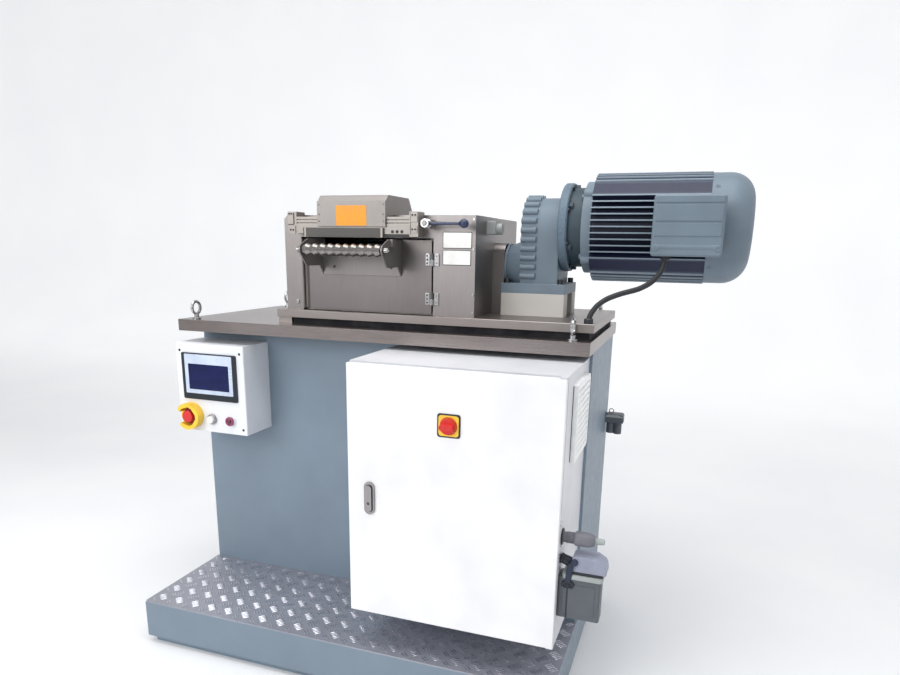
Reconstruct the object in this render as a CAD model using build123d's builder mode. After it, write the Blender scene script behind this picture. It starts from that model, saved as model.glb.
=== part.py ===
from build123d import *
import os
from math import acos, cos, hypot, pi, sin, sqrt, tan

# Strand pelletizing machine: a cutting head with its geared motor on a stainless worktop,
# a painted pedestal, a white switch cabinet and a tread plate platform.
# Millimetres. +Z is up, +X is the operator's right and the front faces -Y.
# The origin is the centre of the platform's underside, on the floor.

os.makedirs("parts", exist_ok=True)

# Platform and tread plate
BASE_WIDTH = 1364
BASE_DEPTH = 864
BASE_HEIGHT = 146
TREAD_THICK = 4
PLINTH_SETBACK = 18
PLINTH_HEIGHT = 24

# Pedestal and worktop tray
PEDESTAL_DEPTH = 485
PEDESTAL_INSET = 3
PEDESTAL_SETBACK = 2
WORKTOP_HEIGHT = 1055
WORKTOP_DEPTH = 615
WORKTOP_OVERHANG = 115
WORKTOP_EDGE = 38
WORKTOP_SHEET = 4

# Bed plate on its rubber mat
BED_LENGTH = 1020
BED_DEPTH = 500
BED_THICK = 25
BED_SETBACK = 57
MAT_THICK = 20
MAT_INSET = 6
SPACER_LENGTH = 50

# Lifting eyes
EYE_BAR_R = 5
EYE_RING_R = 20
EYE_COLLAR_R = 14
EYE_COLLAR = 6
EYE_NECK_R = 8
EYE_NECK = 10
EYE_INSET_X = 54
EYE_INSET_Y = 28

# Cutting head housing and its door
HEAD_WIDTH = 635
HEAD_DEPTH = 470
HEAD_HEIGHT = 292
HEAD_WALL = 12
HEAD_SETBACK = 18
HEAD_LEFT_INSET = 29
HEAD_CHAMFER = 12
DRIVE_SIDE = 130
DOOR_WIDTH = 436
DOOR_HEIGHT = 216
DOOR_LIFT = 5
DOOR_SHEET = 5
DOOR_BEND = 21
DOOR_BEND_DEPTH = 9
DOOR_GAP = 5
HINGE_PIN_R = 3
HINGE_BARREL_R = 6
HINGE_LEAF = 4
HINGE_LEAF_WIDTH = 21
HINGE_HEIGHT = 36
HINGE_LOW = 32
HINGE_HIGH = 147

# Strand infeed on the door
INFEED_WIDTH = 268
INFEED_FROM_HINGE = 100
CHEEK_THICK = 4
CHEEK_LOW = 114
CHEEK_TOP_REACH = 91
NOSE_R = 16
CHEEK_SHELF = 141
CHEEK_FOOT_REACH = 103
CHEEK_HEEL = 24
APRON_SHEET = 3
ROLLER_R = 18.5
ROLLER_REACH = 125
ROLLER_LEVEL = 189
ROLLER_END_GAP = 5
GROOVE_DEPTH = 5
GROOVES = 10
JOURNAL_R = 6
JOURNAL_NUT_R = 9
JOURNAL_PROUD = 11
PIN_CLEARANCE = 0.06
FINGER_BAR = 9

# Crossbar over the infeed
RAIL_LENGTH = 373
RAIL_DEPTH = 49
RAIL_HEIGHT = 49
RAIL_LEVEL = 236
RAIL_FROM_LEFT = 75
RAIL_GROOVE = 3
RAIL_GROOVE_DEPTH = 5
RAIL_GROOVE_PITCH = 9
RAIL_GROOVE_LOW = 31
RAIL_BORE_R = 9
END_BLOCK_TOP = 64
END_BLOCK_RISE = 4
END_BLOCK_DROP = 7
END_BLOCK_LEFT = 31
END_BLOCK_RIGHT = 28
COVER_WIDTH = 225
COVER_FROM_RAIL_END = 75
COVER_SHEET = 6
COVER_LOW = 21
COVER_HEIGHT = 73
HOOD_HEIGHT = 55
HOOD_DEPTH = 210
HOOD_SLOPE = 40
STRIP_WIDTH = 268
STRIP_FROM_RAIL_END = 25
STRIP_DROP = 10

# Clamp lever
LEVER_FROM_HINGE = 3.5
LEVER_LEVEL = 267
LEVER_HUB_R = 13
LEVER_HUB = 29
LEVER_REACH = 115
LEVER_ARM_R = 5
LEVER_KNOB_R = 13.5
LEVER_PIN_R = 6
LEVER_STAND = 30

# Position switch
SWITCH_BODY = 40
SWITCH_BODY_THICK = 28
SWITCH_END = 17
SWITCH_BACK = 105
SWITCH_DROP = 12

# Gear unit, its stand, the rotor and the coupling guard
GEAR_FROM_BED_FRONT = 253
OUTPUT_LEVEL = 145
STAND_HEIGHT = 68
STAND_WIDTH = 55
FOOT_LENGTH = 198
FOOT_WIDTH = 196
FOOT_THICK = 30
GEAR_GAP = 42
OUTPUT_RING = 7
OUTPUT_RING_R = 71
HUB_LENGTH = 50
HUB_SMALL_R = 66
HUB_LARGE_R = 84
CASE_LENGTH = 114
CASE_R = 97
CASE_FOOT = 176
CASE_TOP_LEVEL = 255
CASE_RIB_R = 9
CASE_RIB_PITCH = 27
CASE_RIBBED = 46
COVER_FLANGE = 27
COVER_FLANGE_R = 130
ADAPTER = 42
ADAPTER_R = 116
SHAFT_R = 24
SHAFT_CLEARANCE = 2
ROTOR_R = 88
ROTOR_WIDTH = 200
ROTOR_TEETH = 24
ROTOR_TOOTH = 5
GUARD_WIDTH = 104
GUARD_HEIGHT = 217
GUARD_SHEET = 3
GUARD_ROUND = 36
GUARD_GAP = 4

# Motor
MOTOR_LEVEL = 265
SHIELD = 27
SHIELD_R = 133
STATOR = 318
STATOR_R = 156
STATOR_CORE_R = 128
FIN_PITCH = 17.3
FIN_THICK = 4
FIN_ROWS = 11
STATOR_PAD = 60
STATOR_PAD_R = 150
FAN_COVER = 116
FAN_COVER_R = 153
FAN_COVER_ROUND = 70
TERMINAL_WIDTH = 179
TERMINAL_HEIGHT = 156
TERMINAL_DEPTH = 80
TERMINAL_FROM_END = 77
TERMINAL_FRONT = 240
TERMINAL_LID = 24
TERMINAL_NECK = 115
TERMINAL_NECK_INSET = 20
TERMINAL_BODY_INSET = 4
TERMINAL_SEAT = 118

# Motor cable and its glands
CABLE_R = 7.5
GLAND_R = 13
GLAND_HEIGHT = 15
GLAND_INSET = 38
GLAND_SETBACK = 26
FOOT_GLAND_X = 19
FOOT_GLAND_Y = 16

# Operator box
PANEL_WIDTH = 268
PANEL_HEIGHT = 297
PANEL_DEPTH = 140
PANEL_DROP = 37
SCREEN_WIDTH = 214
SCREEN_HEIGHT = 156
SCREEN_PROUD = 5
SCREEN_TOP = 31
SCREEN_LEFT = 26
DISPLAY_WIDTH = 158
DISPLAY_HEIGHT = 85
STOP_X = 52
STOP_Z = 52
STOP_COLLAR_R = 45
STOP_COLLAR = 30
STOP_COLLAR_BORE = 34
STOP_HEAD_R = 28
STOP_TRAVEL = 5
STEM_R = 8
STEM_POCKET = 24
STEM_END_GAP = 5
BUTTON_X = 132
BUTTON_Z = 45
BUTTON_R = 12
BUTTON_BEZEL_R = 17
BUTTON_BEZEL = 8
BUTTON_TRAVEL = 4
LAMP_X = 210
LAMP_Z = 46
LAMP_R = 16
LAMP_PROUD = 6

# Switch cabinet
CABINET_WIDTH = 600
CABINET_HEIGHT = 740
CABINET_DEPTH = 334
CABINET_SHEET = 3
CABINET_RIM = 22
CABINET_INSET = 12
CABINET_DROP = 17
PLATE_STANDOFF = 34
PLATE_SHEET = 3
PLATE_INSET = 40
SPACER_INSET = 20
SPACER_R = 8
CABINET_DOOR = 18
CABINET_DOOR_GAP = 6
PIVOT_R = 4
PIVOT_PLATE = 3
PIVOT_INSET = 6
PIVOT_DEPTH = 14
SWITCH_PLATE = 64
SWITCH_PLATE_THICK = 4
SWITCH_FROM_LEFT = 298
SWITCH_FROM_TOP = 150
SWITCH_KNOB_R = 21
SWITCH_KNOB = 24
SWITCH_DISC = 10
SWITCH_GRIP = 36
SWITCH_GRIP_HIGH = 14
SWITCH_SHAFT_R = 5
LOCK_WIDTH = 31
LOCK_HEIGHT = 95
LOCK_FROM_LEFT = 67
LOCK_FROM_TOP = 381
LOCK_PROUD = 10

# Ventilation cover and connectors on the cabinet's right side
VENT_DEPTH = 212
VENT_HEIGHT = 210
VENT_PROUD = 13
VENT_TOP = 35
VENT_FROM_BACK = 45
VENT_SLATS = 11
VENT_PITCH = 17
VENT_GAP = 8
VENT_RISE = 7
VENT_RIM = 14
VENT_SHEET = 4
VENT_ROUND = 18
VENT_EDGE = 4
PLUG_FROM_FRONT = 31
SMALL_PLUG_DROP = 433
PLUG_FLANGE = 46
PLUG_FLANGE_SHEET = 4
PLUG_STEPS = [(30, 12), (53, 18), (25, 10)]
POWER_PLUG_DROP = 473
POWER_REACH = 114
POWER_DEPTH = 54
POWER_HOUSING_HEIGHT = 115
POWER_FLANGE_SHEET = 12
POWER_FLANGE_INSET = 10
POWER_FLANGE_PROUD = 4
POWER_HOOD_HEIGHT = 51
POWER_HOOD_INSET = 30
POWER_HOOD_SLOPE = 14
POWER_HOOD_PROUD = 12
POWER_PIN_INSET = 34
POWER_PIN_DROP = 14
POWER_PIN_PROUD = 6
POWER_PIN_R = 9
POWER_GLAND_R = 16
REAR_FITTING_TOP = 738
FITTING_FROM_BACK = 40
FITTING_REACH = 62
FITTING_DEPTH = 44
FITTING_BODY = 30
FITTING_ROUND = 9
FITTING_LOBE_R = 14
FITTING_LOBES = [(18, 70), (43, 72)]

# Levels and planes worked out from the sizes above
base_front = -BASE_DEPTH / 2
base_back = BASE_DEPTH / 2
pedestal_front = base_back - PEDESTAL_DEPTH
pedestal_width = BASE_WIDTH - 2 * PEDESTAL_INSET
worktop_width = pedestal_width + 2 * (WORKTOP_SHEET + PEDESTAL_SETBACK)
worktop_front = pedestal_front - WORKTOP_OVERHANG
worktop_back = worktop_front + WORKTOP_DEPTH
worktop_right = worktop_width / 2
mat_top = WORKTOP_HEIGHT + MAT_THICK
bed_top = mat_top + BED_THICK
bed_right = worktop_right
bed_left = bed_right - BED_LENGTH
bed_front = worktop_front + BED_SETBACK
bed_back = bed_front + BED_DEPTH
head_front = bed_front + HEAD_SETBACK
head_back = head_front + HEAD_DEPTH
head_left = bed_left + HEAD_LEFT_INSET
head_right = head_left + HEAD_WIDTH
head_top = bed_top + HEAD_HEIGHT
hinge_x = head_right - DRIVE_SIDE - DOOR_GAP / 2
hinge_y = head_front - HINGE_BARREL_R - 2
door_right = hinge_x - DOOR_GAP / 2
door_left = door_right - DOOR_WIDTH
door_bottom = bed_top + DOOR_LIFT
door_top = door_bottom + DOOR_HEIGHT
infeed_right = hinge_x - INFEED_FROM_HINGE
infeed_left = infeed_right - INFEED_WIDTH
roller_y = head_front - ROLLER_REACH
roller_z = bed_top + ROLLER_LEVEL
rail_left = head_left + RAIL_FROM_LEFT
rail_right = rail_left + RAIL_LENGTH
rail_front = head_front - RAIL_DEPTH
rail_bottom = bed_top + RAIL_LEVEL
rail_top = rail_bottom + RAIL_HEIGHT
gear_y = bed_front + GEAR_FROM_BED_FRONT
output_z = bed_top + OUTPUT_LEVEL
motor_z = bed_top + MOTOR_LEVEL
gear_left = head_right + GEAR_GAP
hub_left = gear_left + OUTPUT_RING
case_left = hub_left + HUB_LENGTH
case_right = case_left + CASE_LENGTH
adapter_left = case_right + COVER_FLANGE
shield_left = adapter_left + ADAPTER
stator_left = shield_left + SHIELD
stator_right = stator_left + STATOR
motor_end = stator_right + FAN_COVER


def block(x0, x1, y0, y1, z0, z1, mode=Mode.ADD):
    """Add a box between two corners to the piece in hand."""
    with Locations(((x0 + x1) / 2, (y0 + y1) / 2, (z0 + z1) / 2)):
        Box(x1 - x0, y1 - y0, z1 - z0, mode=mode)


def bar_x(x0, x1, y, z, radius, mode=Mode.ADD):
    """Add a round bar along X to the piece in hand."""
    with Locations(Location(((x0 + x1) / 2, y, z), (0, 90, 0))):
        Cylinder(radius, x1 - x0, mode=mode)


def bar_y(x, y0, y1, z, radius, mode=Mode.ADD):
    """Add a round bar along Y to the piece in hand."""
    with Locations(Location((x, (y0 + y1) / 2, z), (90, 0, 0))):
        Cylinder(radius, y1 - y0, mode=mode)


def bar_z(x, y, z0, z1, radius, mode=Mode.ADD):
    """Add a round bar along Z to the piece in hand."""
    with Locations((x, y, (z0 + z1) / 2)):
        Cylinder(radius, z1 - z0, mode=mode)


def side_plane(x, y=0, z=0):
    """A sketch plane across X, whose own x is the part's Y and whose own y is its Z."""
    return Plane(origin=(x, y, z), x_dir=(0, 1, 0), z_dir=(1, 0, 0))


def front_plane(x, y, z):
    """A sketch plane that faces the front, whose own y is the part's Z."""
    return Plane(origin=(x, y, z), x_dir=(1, 0, 0), z_dir=(0, -1, 0))


# Platform: a folded sheet box on a set-back plinth
with BuildPart() as base_platform:
    with BuildSketch():
        Rectangle(BASE_WIDTH - 2 * PLINTH_SETBACK, BASE_DEPTH - 2 * PLINTH_SETBACK)
    extrude(amount=PLINTH_HEIGHT)
    with BuildSketch(Plane.XY.offset(PLINTH_HEIGHT)):
        Rectangle(BASE_WIDTH, BASE_DEPTH)
    extrude(amount=BASE_HEIGHT - PLINTH_HEIGHT)
base_platform.part.label = "base_platform"
export_step(base_platform.part, "parts/base_platform.step")

with BuildPart() as tread_plate:
    block(
        -BASE_WIDTH / 2, BASE_WIDTH / 2, base_front, pedestal_front,
        BASE_HEIGHT, BASE_HEIGHT + TREAD_THICK,
    )
    fillet(tread_plate.edges().filter_by(Axis.Z).group_by(Axis.Y)[0], 8)
tread_plate.part.label = "tread_plate"
export_step(tread_plate.part, "parts/tread_plate.step")

# Pedestal: a welded sheet body that reaches up inside the worktop's rim
with BuildPart() as pedestal:
    with BuildSketch(Plane.XY.offset(BASE_HEIGHT)):
        with Locations((0, (pedestal_front + base_back) / 2)):
            Rectangle(pedestal_width, PEDESTAL_DEPTH)
    extrude(amount=WORKTOP_HEIGHT - WORKTOP_SHEET - BASE_HEIGHT)
    fillet(pedestal.edges().filter_by(Axis.Z), 3)
pedestal.part.label = "pedestal"
export_step(pedestal.part, "parts/pedestal.step")

# Worktop: a tray of stainless sheet with its edge folded down
with BuildPart() as worktop:
    with BuildSketch(Plane.XY.offset(WORKTOP_HEIGHT)):
        with Locations((0, (worktop_front + worktop_back) / 2)):
            Rectangle(worktop_width, WORKTOP_DEPTH)
    extrude(amount=-WORKTOP_EDGE)
    block(
        -worktop_width / 2 + WORKTOP_SHEET, worktop_width / 2 - WORKTOP_SHEET,
        worktop_front + WORKTOP_SHEET, worktop_back - WORKTOP_SHEET,
        WORKTOP_HEIGHT - WORKTOP_EDGE - 1, WORKTOP_HEIGHT - WORKTOP_SHEET,
        mode=Mode.SUBTRACT,
    )
worktop.part.label = "worktop"
export_step(worktop.part, "parts/worktop.step")

# Rubber mat under the bed plate
with BuildPart() as rubber_mat:
    block(
        bed_left + SPACER_LENGTH + MAT_INSET, bed_right - 2 * MAT_INSET,
        bed_front + MAT_INSET, bed_back - MAT_INSET, WORKTOP_HEIGHT, mat_top,
    )
rubber_mat.part.label = "rubber_mat"
export_step(rubber_mat.part, "parts/rubber_mat.step")

# Bed plate with its two steel spacers at the left end
with BuildPart() as bed_plate:
    block(bed_left, bed_right, bed_front, bed_back, mat_top, bed_top)
    chamfer(bed_plate.edges().group_by(Axis.Z)[-1], 1.5)
    for pad_front in (bed_front + MAT_INSET, bed_back - MAT_INSET - SPACER_LENGTH):
        block(
            bed_left + 2, bed_left + SPACER_LENGTH,
            pad_front, pad_front + SPACER_LENGTH, WORKTOP_HEIGHT, mat_top,
        )
bed_plate.part.label = "bed_plate"
export_step(bed_plate.part, "parts/bed_plate.step")

# Lifting eyes at the worktop's corners: a forged ring with flats on a neck and a collar
eye_x = worktop_width / 2 - EYE_INSET_X
eye_front = worktop_front + EYE_INSET_Y
eye_back = worktop_back - EYE_INSET_Y
neck_top = WORKTOP_HEIGHT + EYE_COLLAR + EYE_NECK
eye_z = neck_top + EYE_RING_R + EYE_BAR_R - 3
with BuildPart() as front_eyes:
    for x in (-eye_x, eye_x):
        bar_z(x, eye_front, WORKTOP_HEIGHT, WORKTOP_HEIGHT + EYE_COLLAR, EYE_COLLAR_R)
        bar_z(x, eye_front, WORKTOP_HEIGHT, neck_top, EYE_NECK_R)
        with BuildSketch(front_plane(x, eye_front, eye_z)):
            with Locations((0, EYE_RING_R)):
                RegularPolygon(EYE_BAR_R, 8)
        revolve(axis=Axis((x, eye_front, eye_z), (1, 0, 0)))
front_eyes.part.label = "front_eyes"
export_step(front_eyes.part, "parts/front_eyes.step")

with BuildPart() as rear_eyes:
    for x in (-eye_x, eye_x):
        bar_z(x, eye_back, WORKTOP_HEIGHT, WORKTOP_HEIGHT + EYE_COLLAR, EYE_COLLAR_R)
        bar_z(x, eye_back, WORKTOP_HEIGHT, neck_top, EYE_NECK_R)
        with BuildSketch(front_plane(x, eye_back, eye_z)):
            with Locations((0, EYE_RING_R)):
                RegularPolygon(EYE_BAR_R, 8)
        revolve(axis=Axis((x, eye_back, eye_z), (1, 0, 0)))
rear_eyes.part.label = "rear_eyes"
export_step(rear_eyes.part, "parts/rear_eyes.step")

# Head housing: a chamber behind the door and a closed drive side on the right
door_recess = DOOR_BEND_DEPTH + DOOR_SHEET + DOOR_GAP
lever_x = hinge_x - LEVER_FROM_HINGE
lever_z = bed_top + LEVER_LEVEL
stud_face = head_front - LEVER_STAND
with BuildPart() as head_housing:
    block(head_left, head_right, head_front, head_back, bed_top, head_top)
    chamfer(
        head_housing.edges().filter_by(Axis.Y).group_by(Axis.Z)[-1].sort_by(Axis.X)[0],
        HEAD_CHAMFER,
    )
    block(
        head_left + HEAD_WALL, door_right - HEAD_WALL,
        head_front + HEAD_WALL, head_back - HEAD_WALL,
        bed_top + HEAD_WALL, head_top - HEAD_WALL, mode=Mode.SUBTRACT,
    )
    block(
        door_left - DOOR_GAP, door_right + DOOR_GAP,
        head_front - 1, head_front + door_recess,
        bed_top - 1, door_top + DOOR_GAP, mode=Mode.SUBTRACT,
    )
    bar_x(
        door_right - HEAD_WALL - 1, head_right + 1, gear_y, output_z,
        SHAFT_R + SHAFT_CLEARANCE, mode=Mode.SUBTRACT,
    )
    bar_y(lever_x, stud_face, head_front + 1, lever_z, LEVER_HUB_R)
    bar_y(lever_x, stud_face - LEVER_HUB - 4, head_front, lever_z, LEVER_PIN_R)
head_housing.part.label = "head_housing"
export_step(head_housing.part, "parts/head_housing.step")

# Door of the head: folded sheet with a slanted left edge, a notch for the strands
# and the hinge leaves that turn with it
slot_left = infeed_left + CHEEK_THICK + ROLLER_END_GAP
slot_right = infeed_right - CHEEK_THICK - ROLLER_END_GAP
slot_bottom = roller_z - ROLLER_R
hinge_levels = (bed_top + HINGE_LOW, bed_top + HINGE_HIGH)
with BuildPart() as head_door:
    with BuildSketch(Plane.XY.offset(door_bottom)):
        with BuildLine():
            Polyline(
                (door_right, head_front),
                (door_left + DOOR_BEND, head_front),
                (door_left, head_front + DOOR_BEND_DEPTH),
                (door_left, head_front + DOOR_BEND_DEPTH + DOOR_SHEET),
                (door_left + DOOR_BEND, head_front + DOOR_SHEET),
                (door_right, head_front + DOOR_SHEET),
                close=True,
            )
        make_face()
    extrude(amount=DOOR_HEIGHT)
    block(
        slot_left, slot_right, head_front - 1, head_front + DOOR_SHEET + 1,
        slot_bottom, door_top + 1, mode=Mode.SUBTRACT,
    )
    for level in hinge_levels:
        knuckle = level + HINGE_HEIGHT / 2 + 0.5
        bar_z(hinge_x, hinge_y, knuckle, level + HINGE_HEIGHT, HINGE_BARREL_R)
        block(
            hinge_x - HINGE_LEAF_WIDTH, hinge_x, head_front - HINGE_LEAF, head_front,
            knuckle, level + HINGE_HEIGHT,
        )
        block(
            hinge_x - HINGE_LEAF_WIDTH, hinge_x - HINGE_BARREL_R - 1,
            head_front - HINGE_LEAF, head_front, level, level + HINGE_HEIGHT,
        )
        bar_z(
            hinge_x, hinge_y, knuckle - 1, level + HINGE_HEIGHT + 1,
            HINGE_PIN_R + PIN_CLEARANCE, mode=Mode.SUBTRACT,
        )
head_door.part.label = "head_door"
export_step(head_door.part, "parts/head_door.step")

# Fixed hinge leaves with their pins
with BuildPart() as head_hinges:
    for level in hinge_levels:
        bar_z(hinge_x, hinge_y, level, level + HINGE_HEIGHT / 2 - 0.5, HINGE_BARREL_R)
        bar_z(hinge_x, hinge_y, level, level + HINGE_HEIGHT, HINGE_PIN_R)
        block(
            hinge_x, hinge_x + HINGE_LEAF_WIDTH, head_front - HINGE_LEAF, head_front,
            level, level + HINGE_HEIGHT / 2 - 0.5,
        )
        block(
            hinge_x + HINGE_BARREL_R + 1, hinge_x + HINGE_LEAF_WIDTH,
            head_front - HINGE_LEAF, head_front, level, level + HINGE_HEIGHT,
        )
head_hinges.part.label = "head_hinges"
export_step(head_hinges.part, "parts/head_hinges.step")

# Strand infeed: two cheeks with a nose round the roller's journal, an apron between
# them on the door and a bar of guide fingers on the right
cheek_low_z = bed_top + CHEEK_LOW
cheek_shelf_z = bed_top + CHEEK_SHELF
cheek_plane_left = side_plane(infeed_left)
cheek_plane_right = side_plane(infeed_right - CHEEK_THICK)
with BuildPart() as strand_infeed:
    for plane in (cheek_plane_left, cheek_plane_right):
        with BuildSketch(plane):
            with Locations((roller_y, roller_z)):
                Circle(NOSE_R)
            with BuildLine():
                Polyline(
                    (head_front, cheek_shelf_z),
                    (head_front, door_top),
                    (head_front - CHEEK_TOP_REACH, door_top),
                    (head_front - CHEEK_FOOT_REACH, cheek_shelf_z),
                    close=True,
                )
            make_face()
            make_hull()
            with BuildLine():
                Polyline(
                    (head_front, cheek_low_z),
                    (head_front, cheek_shelf_z),
                    (head_front - CHEEK_HEEL, cheek_shelf_z),
                    close=True,
                )
            make_face()
        extrude(amount=CHEEK_THICK)
    block(
        infeed_left + CHEEK_THICK, infeed_right - CHEEK_THICK,
        head_front - APRON_SHEET, head_front, cheek_low_z, slot_bottom,
    )
    block(
        infeed_right, infeed_right + FINGER_BAR, head_front - 86, head_front - 62,
        door_top - 22, door_top,
    )
    bar_x(
        infeed_left - 1, infeed_right + 1, roller_y, roller_z,
        JOURNAL_R + PIN_CLEARANCE, mode=Mode.SUBTRACT,
    )
strand_infeed.part.label = "strand_infeed"
export_step(strand_infeed.part, "parts/strand_infeed.step")

# Grooved guide roller, turned from one bar, with a nut on each journal
roller_left = infeed_left + CHEEK_THICK + ROLLER_END_GAP
roller_right = infeed_right - CHEEK_THICK - ROLLER_END_GAP
groove_pitch = (roller_right - roller_left) / GROOVES
outline = [(roller_left, 0), (roller_left, ROLLER_R - GROOVE_DEPTH)]
for groove in range(GROOVES):
    start = roller_left + groove * groove_pitch
    outline.append((start + groove_pitch / 2, ROLLER_R))
    outline.append((start + groove_pitch, ROLLER_R - GROOVE_DEPTH))
outline.append((roller_right, 0))
with BuildPart() as guide_roller:
    with BuildSketch(front_plane(0, roller_y, roller_z)):
        with BuildLine():
            Polyline(*outline, close=True)
        make_face()
    revolve(axis=Axis((0, roller_y, roller_z), (1, 0, 0)))
    bar_x(
        infeed_left - JOURNAL_PROUD, infeed_right + JOURNAL_PROUD,
        roller_y, roller_z, JOURNAL_R,
    )
    bar_x(infeed_left - JOURNAL_PROUD, infeed_left - 1, roller_y, roller_z, JOURNAL_NUT_R)
    bar_x(infeed_right + 1, infeed_right + JOURNAL_PROUD, roller_y, roller_z, JOURNAL_NUT_R)
guide_roller.part.label = "guide_roller"
export_step(guide_roller.part, "parts/guide_roller.step")

# Crossbar: an aluminium rail with two narrow grooves in front and a bore along it
with BuildPart() as crossbar:
    with BuildSketch(side_plane(rail_left, rail_front, rail_bottom)):
        Rectangle(RAIL_DEPTH, RAIL_HEIGHT, align=Align.MIN)
        for groove in range(2):
            level = RAIL_GROOVE_LOW + groove * RAIL_GROOVE_PITCH
            with Locations((RAIL_GROOVE_DEPTH / 2, level)):
                Rectangle(RAIL_GROOVE_DEPTH, RAIL_GROOVE, mode=Mode.SUBTRACT)
        with Locations((RAIL_DEPTH / 2, RAIL_HEIGHT / 2)):
            Circle(RAIL_BORE_R, mode=Mode.SUBTRACT)
    extrude(amount=RAIL_LENGTH)
crossbar.part.label = "crossbar"
export_step(crossbar.part, "parts/crossbar.step")

# Blocks that carry the rail's ends on the housing
with BuildPart() as rail_blocks:
    block(
        rail_left - END_BLOCK_LEFT, rail_left, rail_front, head_front,
        rail_bottom + END_BLOCK_RISE, rail_bottom + END_BLOCK_TOP,
    )
    block(
        rail_right, rail_right + END_BLOCK_RIGHT, rail_front, head_front,
        rail_bottom - END_BLOCK_DROP, rail_bottom + END_BLOCK_TOP,
    )
    fillet(rail_blocks.edges().filter_by(Axis.Y), 2)
rail_blocks.part.label = "rail_blocks"
export_step(rail_blocks.part, "parts/rail_blocks.step")

# Feed hood behind its cover plate, seated on the rail and the housing
cover_left = rail_left + COVER_FROM_RAIL_END
hood_top = head_top + HOOD_HEIGHT
with BuildPart() as feed_hood:
    with BuildSketch(side_plane(cover_left)):
        with BuildLine():
            Polyline(
                (rail_front, rail_top),
                (rail_front, rail_bottom + COVER_LOW + COVER_HEIGHT),
                (rail_front + 16, hood_top),
                (rail_front + HOOD_DEPTH - HOOD_SLOPE, hood_top),
                (rail_front + HOOD_DEPTH, head_top),
                (head_front, head_top),
                (head_front, rail_top),
                close=True,
            )
        make_face()
    extrude(amount=COVER_WIDTH)
    fillet(feed_hood.edges().filter_by(Axis.X).group_by(Axis.Z)[-1], 8)
    block(
        cover_left, cover_left + COVER_WIDTH, rail_front - COVER_SHEET, rail_front,
        rail_bottom + COVER_LOW, rail_bottom + COVER_LOW + COVER_HEIGHT,
    )
feed_hood.part.label = "feed_hood"
export_step(feed_hood.part, "parts/feed_hood.step")

# Dark strip under the rail that keeps the strands down
strip_left = rail_left + STRIP_FROM_RAIL_END
with BuildPart() as strand_strip:
    block(
        strip_left, strip_left + STRIP_WIDTH, rail_front - COVER_SHEET, rail_front,
        rail_bottom - STRIP_DROP, rail_bottom + COVER_LOW - 4,
    )
strand_strip.part.label = "strand_strip"
export_step(strand_strip.part, "parts/strand_strip.step")

# Clamp lever that turns on the stud
lever_back = stud_face - 1
lever_front = lever_back - LEVER_HUB
lever_y = lever_front + LEVER_HUB / 2
with BuildPart() as clamp_lever:
    bar_y(lever_x, lever_front, lever_back, lever_z, LEVER_HUB_R)
    bar_x(lever_x, lever_x + LEVER_REACH, lever_y, lever_z, LEVER_ARM_R)
    with Locations((lever_x + LEVER_REACH, lever_y, lever_z)):
        Sphere(LEVER_KNOB_R)
    bar_y(
        lever_x, lever_front - 1, lever_back + 1, lever_z,
        LEVER_PIN_R + PIN_CLEARANCE, mode=Mode.SUBTRACT,
    )
clamp_lever.part.label = "clamp_lever"
export_step(clamp_lever.part, "parts/clamp_lever.step")

# Position switch on the right of the housing
switch_y = head_front + SWITCH_BACK
with BuildPart() as hood_switch:
    block(
        head_right, head_right + SWITCH_BODY_THICK, switch_y, switch_y + SWITCH_BODY,
        head_top - SWITCH_DROP - SWITCH_BODY, head_top - SWITCH_DROP,
    )
    fillet(hood_switch.edges().filter_by(Axis.X), 4)
    bar_x(
        head_right + SWITCH_BODY_THICK, head_right + SWITCH_BODY_THICK + SWITCH_END,
        switch_y + SWITCH_BODY / 2, head_top - SWITCH_DROP - SWITCH_BODY / 2 - 3, 16,
    )
hood_switch.part.label = "hood_switch"
export_step(hood_switch.part, "parts/hood_switch.step")

# Cutting rotor with helical teeth and its shaft to the gear unit
rotor_left = (head_left + HEAD_WALL + door_right - HEAD_WALL - ROTOR_WIDTH) / 2
with BuildPart() as cutting_rotor:
    with BuildSketch(side_plane(rotor_left, gear_y, output_z)):
        Circle(ROTOR_R)
        with PolarLocations(ROTOR_R, ROTOR_TEETH):
            Rectangle(2 * ROTOR_TOOTH, ROTOR_TOOTH)
    extrude(amount=ROTOR_WIDTH)
    bar_x(rotor_left - 30, gear_left, gear_y, output_z, SHAFT_R)
cutting_rotor.part.label = "cutting_rotor"
export_step(cutting_rotor.part, "parts/cutting_rotor.step")

# Coupling guard: an inverted U of sheet over the shaft
guard_length = GEAR_GAP - GUARD_GAP
with BuildPart() as coupling_guard:
    with BuildSketch(side_plane(head_right, gear_y, bed_top)):
        with BuildLine():
            Polyline(
                (-GUARD_WIDTH / 2, 0),
                (-GUARD_WIDTH / 2, GUARD_HEIGHT),
                (GUARD_WIDTH / 2, GUARD_HEIGHT),
                (GUARD_WIDTH / 2, 0),
                close=True,
            )
        make_face()
    extrude(amount=guard_length)
    fillet(coupling_guard.edges().filter_by(Axis.X).group_by(Axis.Z)[-1], GUARD_ROUND)
    offset(
        amount=-GUARD_SHEET,
        openings=coupling_guard.faces().filter_by(Axis.X)
        + coupling_guard.faces().filter_by(Axis.Z).sort_by(Axis.Z)[:1],
    )
coupling_guard.part.label = "coupling_guard"
export_step(coupling_guard.part, "parts/coupling_guard.step")

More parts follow.
